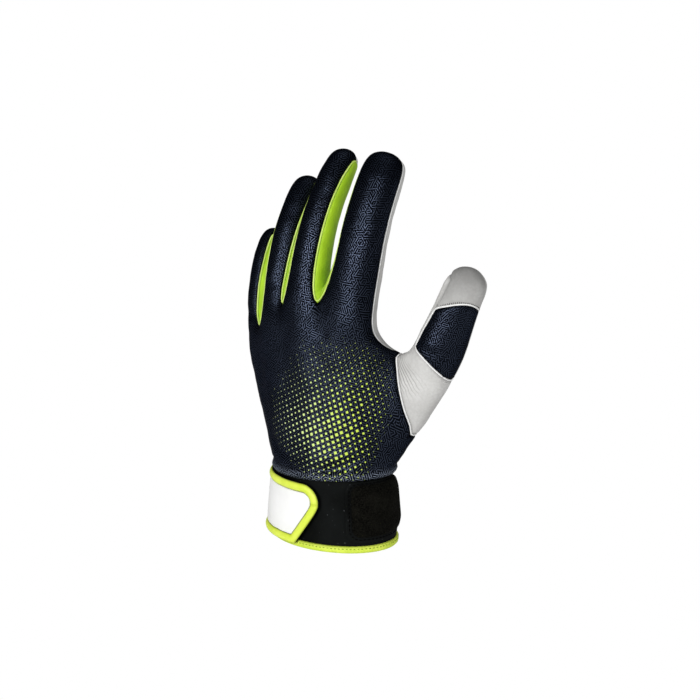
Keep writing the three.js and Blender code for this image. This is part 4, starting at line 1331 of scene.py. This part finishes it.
slit_start = SLIT_PLACE + SLIT_WIDTH / 2
slit_end = SLIT_PLACE - SLIT_WIDTH / 2 + WRIST_GIRTH
BAND_LOW, BAND_FOOT_ROUND, BAND_TOP_ROUND = 1.3, 0.6, 0.9
BAND_TOP_DROP, BAND_TOP_INSET, BAND_FOOT_INSET = 0.25, 0.35, 0.5
BAND_COLUMNS, BAND_ROWS, BAND_INNER_ROWS = 180, 16, 8
WAVE, WAVE_SCALE, WAVE_START = 0.35, (0.045, 0.06), 4.2


def soft_lift(place, z):
    """Slight waves of the neoprene."""
    wave = noise.noise(Vector((place * WAVE_SCALE[0], z * WAVE_SCALE[1], WAVE_START)))
    return WAVE * wave * math.sin(math.pi * min(1, z / CUFF_HEIGHT))


def band_profile(place):
    low, high = BAND_LOW + BAND_FOOT_ROUND, CUFF_HEIGHT - BAND_TOP_ROUND
    outer = [(z, soft_lift(place, z)) for z in np.linspace(low, high, BAND_ROWS)]
    inner = [(z, -CUFF_THICKNESS) for z in np.linspace(high, low, BAND_INNER_ROWS)]
    top = [(CUFF_HEIGHT - BAND_TOP_DROP, -BAND_TOP_INSET), (CUFF_HEIGHT, -CUFF_THICKNESS / 2),
           (CUFF_HEIGHT - BAND_TOP_DROP, BAND_TOP_INSET - CUFF_THICKNESS)]
    foot = [(BAND_LOW, BAND_FOOT_INSET - CUFF_THICKNESS), (BAND_LOW, -BAND_FOOT_INSET)]
    return (outer + top + inner + foot)[::-1]


band_places = np.linspace(slit_start, slit_end, BAND_COLUMNS)
ring_sweep("cuff_neoprene", band_places, band_profile, "neoprene", "neoprene_black", ["cuff_band"])

HEM_COLUMNS, HEM_EDGE, HEM_EDGE_SHADE_AND_SOIL_REACH = 420, 4.05, 0.7
PUCKER, PUCKER_PITCH, LOW_PUCKER = 0.1, 2.6, 0.6
HEM_STITCH_PLACE, HEM_STITCH_LIFT, HEM_STITCH_SETBACK = 2.7, 1.42, 1.5


def hem_profile(place):
    pucker = PUCKER * math.sin(place * 2 * math.pi / PUCKER_PITCH)
    outer = [(HEM_EDGE, 0.12), (3.9, 0.75), (3.3, 1.25 + pucker), (2.4, 1.4),
             (1.4, 1.4 - LOW_PUCKER * pucker), (0.6, 1.15), (0.12, 0.6), (0.0, 0.0)]
    inner = [(0.0, -2.5), (0.12, -3.1), (0.6, -3.65), (1.8, -3.85), (3.2, -3.75), (3.9, -3.25),
             (HEM_EDGE, -2.62)]
    fold = [(1.0, -2.75), (1.0, 0.25)]
    return (outer + inner + fold)[::-1]


# The binding's outer face darkens towards its upper edge: painted shade and soil
def hem_edge_shade_and_soil(z, lift):
    return bell(z, HEM_EDGE, HEM_EDGE_SHADE_AND_SOIL_REACH) if lift > 0 else 0.0


hem_places = np.linspace(slit_start, slit_end, HEM_COLUMNS)
ring_sweep("hem_tape", hem_places, hem_profile, "hem_tape", "binding_lime", ["hem_binding"], hem_edge_shade_and_soil)


def cuff_line(places, z, lift):
    """Points along the cuff in the frame, and the ways out there."""
    points = on_cuff(places, z, lift)
    outward = on_cuff(places, z, lift + 1.0) - points
    return in_frame(points), outward


hem_stitch_places = np.linspace(slit_start + HEM_STITCH_SETBACK, slit_end - HEM_STITCH_SETBACK, 300)
hem_line = cuff_line(hem_stitch_places, HEM_STITCH_PLACE, HEM_STITCH_LIFT)
stitch_row("hem_stitches", *hem_line, "lime_thread", "binding_lime", pitch=2.2, length=1.05, radius=0.24)


def rounded_edges(start, end, low, high, corner):
    """Lower and upper edge of a patch with round corners."""
    def edges(p):
        u = max(0.0, 1 - min(p - start, end - p) / corner)
        cut = corner * (1 - math.sqrt(max(0.0, 1 - u * u)))
        return low + cut, high - cut
    return edges


def patch_edges(inset):
    """Edges of the loop patch, drawn in all round, and the places of its columns."""
    start, end, corner = PATCH_START + inset, PATCH_END - inset, PATCH_CORNER - inset / 2
    edges = rounded_edges(start, end, PATCH_LOW + inset, WRIST_HEIGHT - PATCH_TOP_GAP - inset / 2, corner)
    return edges, places_between(start, end, 0.8)


# The patch is a flat margin, sewn down, round a padded field of pile
MARGIN_THICKNESS, MARGIN_ROUNDING, PATCH_ROWS = 0.6, 0.6, 30
PILE_INSET, PILE_ROUNDING, PILE_CROWN = 3.6, 1.8, 2.6
STITCH_INSET, STITCH_LIFT = 2.2, 0.1
TAPE_ROUNDING, HOOK_ROUNDING = 0.5, 0.4
pile_base = LAYER_GAP + MARGIN_THICKNESS
margin, margin_places = patch_edges(0.0)
wrapped_sheet("loop_patch_margin", margin_places, margin, LAYER_GAP, MARGIN_THICKNESS, MARGIN_ROUNDING,
              "neoprene", "glove", "loop_pile", [], PATCH_ROWS)
pile, pile_places = patch_edges(PILE_INSET)
wrapped_sheet("loop_pile_patch", pile_places, pile, pile_base, PATCH_THICKNESS, PILE_ROUNDING,
              "pile", "glove", "loop_pile", ["loop_patch"], PATCH_ROWS, PILE_CROWN)
tape_edges = (TAB_MIDDLE - TAPE_HEIGHT / 2, TAB_MIDDLE + TAPE_HEIGHT / 2)
tape_end = TAB_TIP - TAPE_MARGIN
wrapped_sheet("loop_landing_tape", places_between(LANDING_START, tape_end), tape_edges, LAYER_GAP,
              TAPE_THICKNESS, TAPE_ROUNDING, "pile", "glove", "loop_pile", ["loop_landing"])

STRAP_LIFT = 2 * (LAYER_GAP + TAPE_THICKNESS) + LAYER_GAP
web_edges = (TAB_MIDDLE - WEB_HEIGHT / 2, TAB_MIDDLE + WEB_HEIGHT / 2)
web_start, web_end = WEB_ROOT + HINGE_GAP / 2, TAB_ROOT - HINGE_GAP / 2
wrapped_sheet("elastic_web", places_between(web_start, web_end), web_edges,
              lambda p: lerp(LAYER_GAP, STRAP_LIFT, (p - web_start) / (web_end - web_start)), WEB_THICKNESS,
              TAPE_ROUNDING, "elastic", "strap_web", "elastic_black", ["strap_web"])
anchor_end = WEB_ROOT - HINGE_GAP / 2
wrapped_sheet("elastic_anchor", places_between(anchor_end - ANCHOR_LENGTH, anchor_end), web_edges, LAYER_GAP,
              WEB_THICKNESS, TAPE_ROUNDING, "elastic", "glove", "elastic_black", ["strap_anchor"])


# Tab: backing, badge, hook tape and raised border
def tab_shape(inset):
    """Sizes of the tab's outline, drawn in all round."""
    nose = TAB_NOSE - inset * TAB_SLOPE * (math.hypot(1, TAB_SLOPE) - TAB_SLOPE)
    return dict(tip=TAB_TIP - inset, corner=TAB_CORNER - inset, nose=nose,
                low=TAB_LOW + inset, high=TAB_HIGH - inset)


def tab_edges(shape):
    """Lower edge, slanted towards the tip, and upper edge with its round corner."""
    def edges(p):
        back = max(0.0, shape["tip"] - p)
        u = max(0.0, 1 - back / shape["corner"])
        drop = math.hypot(TAB_SLOPE * back, math.sqrt(2 * shape["nose"] * back))
        low = max(shape["low"], shape["high"] - shape["corner"] - drop)
        return low, shape["high"] - shape["corner"] * (1 - math.sqrt(1 - u * u))
    return edges


tab_start = TAB_ROOT + HINGE_GAP / 2
TIP_END, TAB_STEP = 0.05, 1.0
BADGE_THICKNESS, BADGE_ROUNDING, BADGE_CROWN = 0.6, 0.6, 0.25
backing, badge = tab_shape(0), tab_shape(TAB_BORDER + SEAM_GAP)
tab_top = STRAP_LIFT + TAB_THICKNESS
rim_under = tab_top + LAYER_GAP
rim_start = tab_start + RIM_SETBACK
backing_places = places_between(tab_start, backing["tip"] - TIP_END, TAB_STEP)
wrapped_sheet("tab_neoprene", backing_places, tab_edges(backing), STRAP_LIFT, TAB_THICKNESS, TAPE_ROUNDING,
              "neoprene", "strap_tab", "neoprene_black", ["tab_backing"])
badge_places = places_between(rim_start + TAB_BORDER + SEAM_GAP, badge["tip"] - TIP_END, TAB_STEP)
wrapped_sheet("tab_white_badge", badge_places, tab_edges(badge), rim_under, BADGE_THICKNESS, BADGE_ROUNDING,
              "badge", "strap_tab", "badge_white", ["tab_badge"], crown=BADGE_CROWN)
hook_lift = 2 * LAYER_GAP + TAPE_THICKNESS
wrapped_sheet("tab_hook_tape", places_between(HOOK_START, tape_end), tape_edges, hook_lift, TAPE_THICKNESS,
              HOOK_ROUNDING, "hooks", "strap_tab", "hook_tape", ["hook_pad"])

RIM_COLUMNS, NOSE_COLUMNS, RIM_POINTS = 60, 26, 11
RIM_SWELL, RIM_FULLNESS, RIM_EDGE = 1.6, 0.55, 0.04
RIM_STEP, RIM_SHADE_AND_SOIL_POWER = 0.0008, 6


def tab_outline(shape):
    """Places and heights along the upper edge to the tip and back along the lower one."""
    edges = tab_edges(shape)
    nose = shape["tip"] - shape["corner"] * (1 - np.sin(np.linspace(0, math.pi / 2, NOSE_COLUMNS)))
    places = np.concatenate([np.linspace(rim_start, nose[0], RIM_COLUMNS)[:-1], nose])
    places = np.minimum(places, shape["tip"] - TIP_END)
    top = [(p, edges(p)[1]) for p in places]
    bottom = [(p, edges(p)[0]) for p in places[::-1]]
    return np.array(top + bottom)


def add_tab_border():
    """Raised tape round the tab, from its outline to its badge."""
    outer, inner = tab_outline(backing), tab_outline(tab_shape(TAB_BORDER))
    shares = np.linspace(0, 1, RIM_POINTS)
    arch = np.sin(math.pi * (RIM_EDGE + (1 - 2 * RIM_EDGE) * shares))
    height = TAB_RIM * RIM_SWELL * arch ** RIM_FULLNESS
    rings = []
    for a, b in zip(outer, inner):
        across = a + (b - a) * shares[:, None]
        top, bottom = on_cuff(*across.T, rim_under + height), on_cuff(*across[::-1].T, rim_under)
        rings.append(np.concatenate([top, bottom]))
    m = len(rings[0])
    edge = np.abs(np.concatenate([shares, shares[::-1]]) - 0.5) * 2
    # The border darkens towards both its edges: painted shade and soil
    seam = np.tile(edge ** RIM_SHADE_AND_SOIL_POWER, len(rings))
    run = np.repeat(np.arange(len(rings)), m) * RIM_STEP
    uv = np.stack([run, np.tile(np.concatenate([shares, shares]) * TAB_BORDER * MM, len(rings))], 1)
    points, faces = in_frame(np.concatenate(rings)), sweep_faces(len(rings), m)
    return add_piece("tab_lime_border", points, faces, "rim_tape", "strap_tab", "binding_lime",
                     ["tab_binding"], uv, seam)


add_tab_border()

sewn, sewn_places = patch_edges(STITCH_INSET)
patch_loop = [(p, sewn(p)[0]) for p in sewn_places] + [(p, sewn(p)[1]) for p in sewn_places[::-1]]
patch_line = cuff_line(*np.array(patch_loop + patch_loop[:1]).T, pile_base + STITCH_LIFT)
stitch_row("patch_stitches", *patch_line, "black_thread", "loop_pile", pitch=2.4, length=1.6, radius=0.34)

# Closed skins face outward
bpy.ops.object.select_all(action="DESELECT")
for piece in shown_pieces():
    if piece.get("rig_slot"):
        bpy.context.view_layer.objects.active = piece
        piece.select_set(True)
        bpy.ops.object.mode_set(mode="EDIT")
        bpy.ops.mesh.select_all(action="SELECT")
        bpy.ops.mesh.normals_make_consistent(inside=False)
        bpy.ops.object.mode_set(mode="OBJECT")
        piece.select_set(False)

# Studio: white floor, broad lights and the camera of the photograph
FLOOR_SIZE, FLOOR_DROP = 6.0, 0.0002
FLOOR_GREY, FLOOR_ROUGHNESS = (0.9, 0.9, 0.9, 1), 0.9
WHITE = (1, 1, 1, 1)
WORLD_STRENGTH, WORLD_GLOSS_STRENGTH = 0.26, 0.05

bpy.ops.mesh.primitive_plane_add(size=FLOOR_SIZE, location=(0, 0, -FLOOR_DROP))
floor = bpy.context.active_object
floor.name = "studio_floor"
floor_white = bpy.data.materials.new("studio_white")
floor_white.use_nodes = True
sketch, nodes = Sketch(floor_white.node_tree), floor_white.node_tree.nodes
sketch.feed(nodes["Principled BSDF"].inputs["Base Color"], FLOOR_GREY)
sketch.feed(nodes["Principled BSDF"].inputs["Roughness"], FLOOR_ROUGHNESS)
glow = sketch.node("Emission", {"Color": WHITE, "Strength": 1.0})
seen = sketch.node("LightPath").outputs["Is Camera Ray"]
chosen = sketch.node("MixShader", {0: seen, 1: nodes["Principled BSDF"].outputs[0], 2: glow.outputs[0]})
sketch.feed(nodes["Material Output"].inputs["Surface"], chosen.outputs[0])
floor.data.materials.append(floor_white)

world = bpy.data.worlds.new("studio_world")
scene.world = world
world.use_nodes = True
sketch, nodes = Sketch(world.node_tree), world.node_tree.nodes
backdrop = nodes["Background"]
bright = sketch.node("Background", {"Color": WHITE, "Strength": 1.0})
rays = sketch.node("LightPath").outputs
strength = sketch.ramp(rays["Is Glossy Ray"], 0.0, 1.0, WORLD_STRENGTH, WORLD_GLOSS_STRENGTH)
sketch.feed(backdrop.inputs["Color"], WHITE)
sketch.feed(backdrop.inputs["Strength"], strength)
chosen = sketch.node("MixShader", {0: rays["Is Camera Ray"], 1: backdrop.outputs[0], 2: bright.outputs[0]})
sketch.feed(nodes["World Output"].inputs["Surface"], chosen.outputs[0])

CAMERA_TURN, CAMERA_RISE, CAMERA_DISTANCE = math.radians(38), math.radians(13), 1.0
SENSOR_WIDTH, PHOTO_WIDTH, PHOTO_FOCUS = 36, 700, 1780
TARGET = Vector(in_frame((9.2, 6.0, 108.5)))
back = Vector((math.sin(CAMERA_TURN) * math.cos(CAMERA_RISE), -math.cos(CAMERA_TURN) * math.cos(CAMERA_RISE),
               math.sin(CAMERA_RISE)))
right = Vector((math.cos(CAMERA_TURN), math.sin(CAMERA_TURN), 0))
up = back.cross(right)

# Lights: metres to the right of, above and in front of the target, width, power, and if they shine on gloss
LIGHTS = {
    "key_light": (-0.65, 0.08, 1.0, 0.5, 10.5, True),
    "fill_light": (1.05, 0.2, 0.75, 1.4, 8.5, False),
    "top_light": (0.0, 1.3, 0.3, 0.7, 1.5, True),
}
for name, (right_by, up_by, back_by, size, power, glossy) in LIGHTS.items():
    light = bpy.data.lights.new(name, "AREA")
    light.size = size
    light.energy = power
    lamp = bpy.data.objects.new(name, light)
    lamp.location = TARGET + right * right_by + up * up_by + back * back_by
    lamp.rotation_euler = (lamp.location - TARGET).to_track_quat("Z", "Y").to_euler()
    lamp.visible_glossy = glossy
    scene.collection.objects.link(lamp)

lens = bpy.data.cameras.new("photo_camera")
lens.lens = PHOTO_FOCUS / PHOTO_WIDTH * SENSOR_WIDTH
lens.sensor_width = SENSOR_WIDTH
lens.sensor_fit = "HORIZONTAL"
lens.clip_start = 0.01
camera = bpy.data.objects.new("photo_camera", lens)
turn = Matrix((right, up, back)).transposed().to_4x4()
camera.matrix_world = Matrix.Translation(TARGET + back * CAMERA_DISTANCE) @ turn
scene.collection.objects.link(camera)
scene.camera = camera
scene.view_settings.view_transform = "Standard"
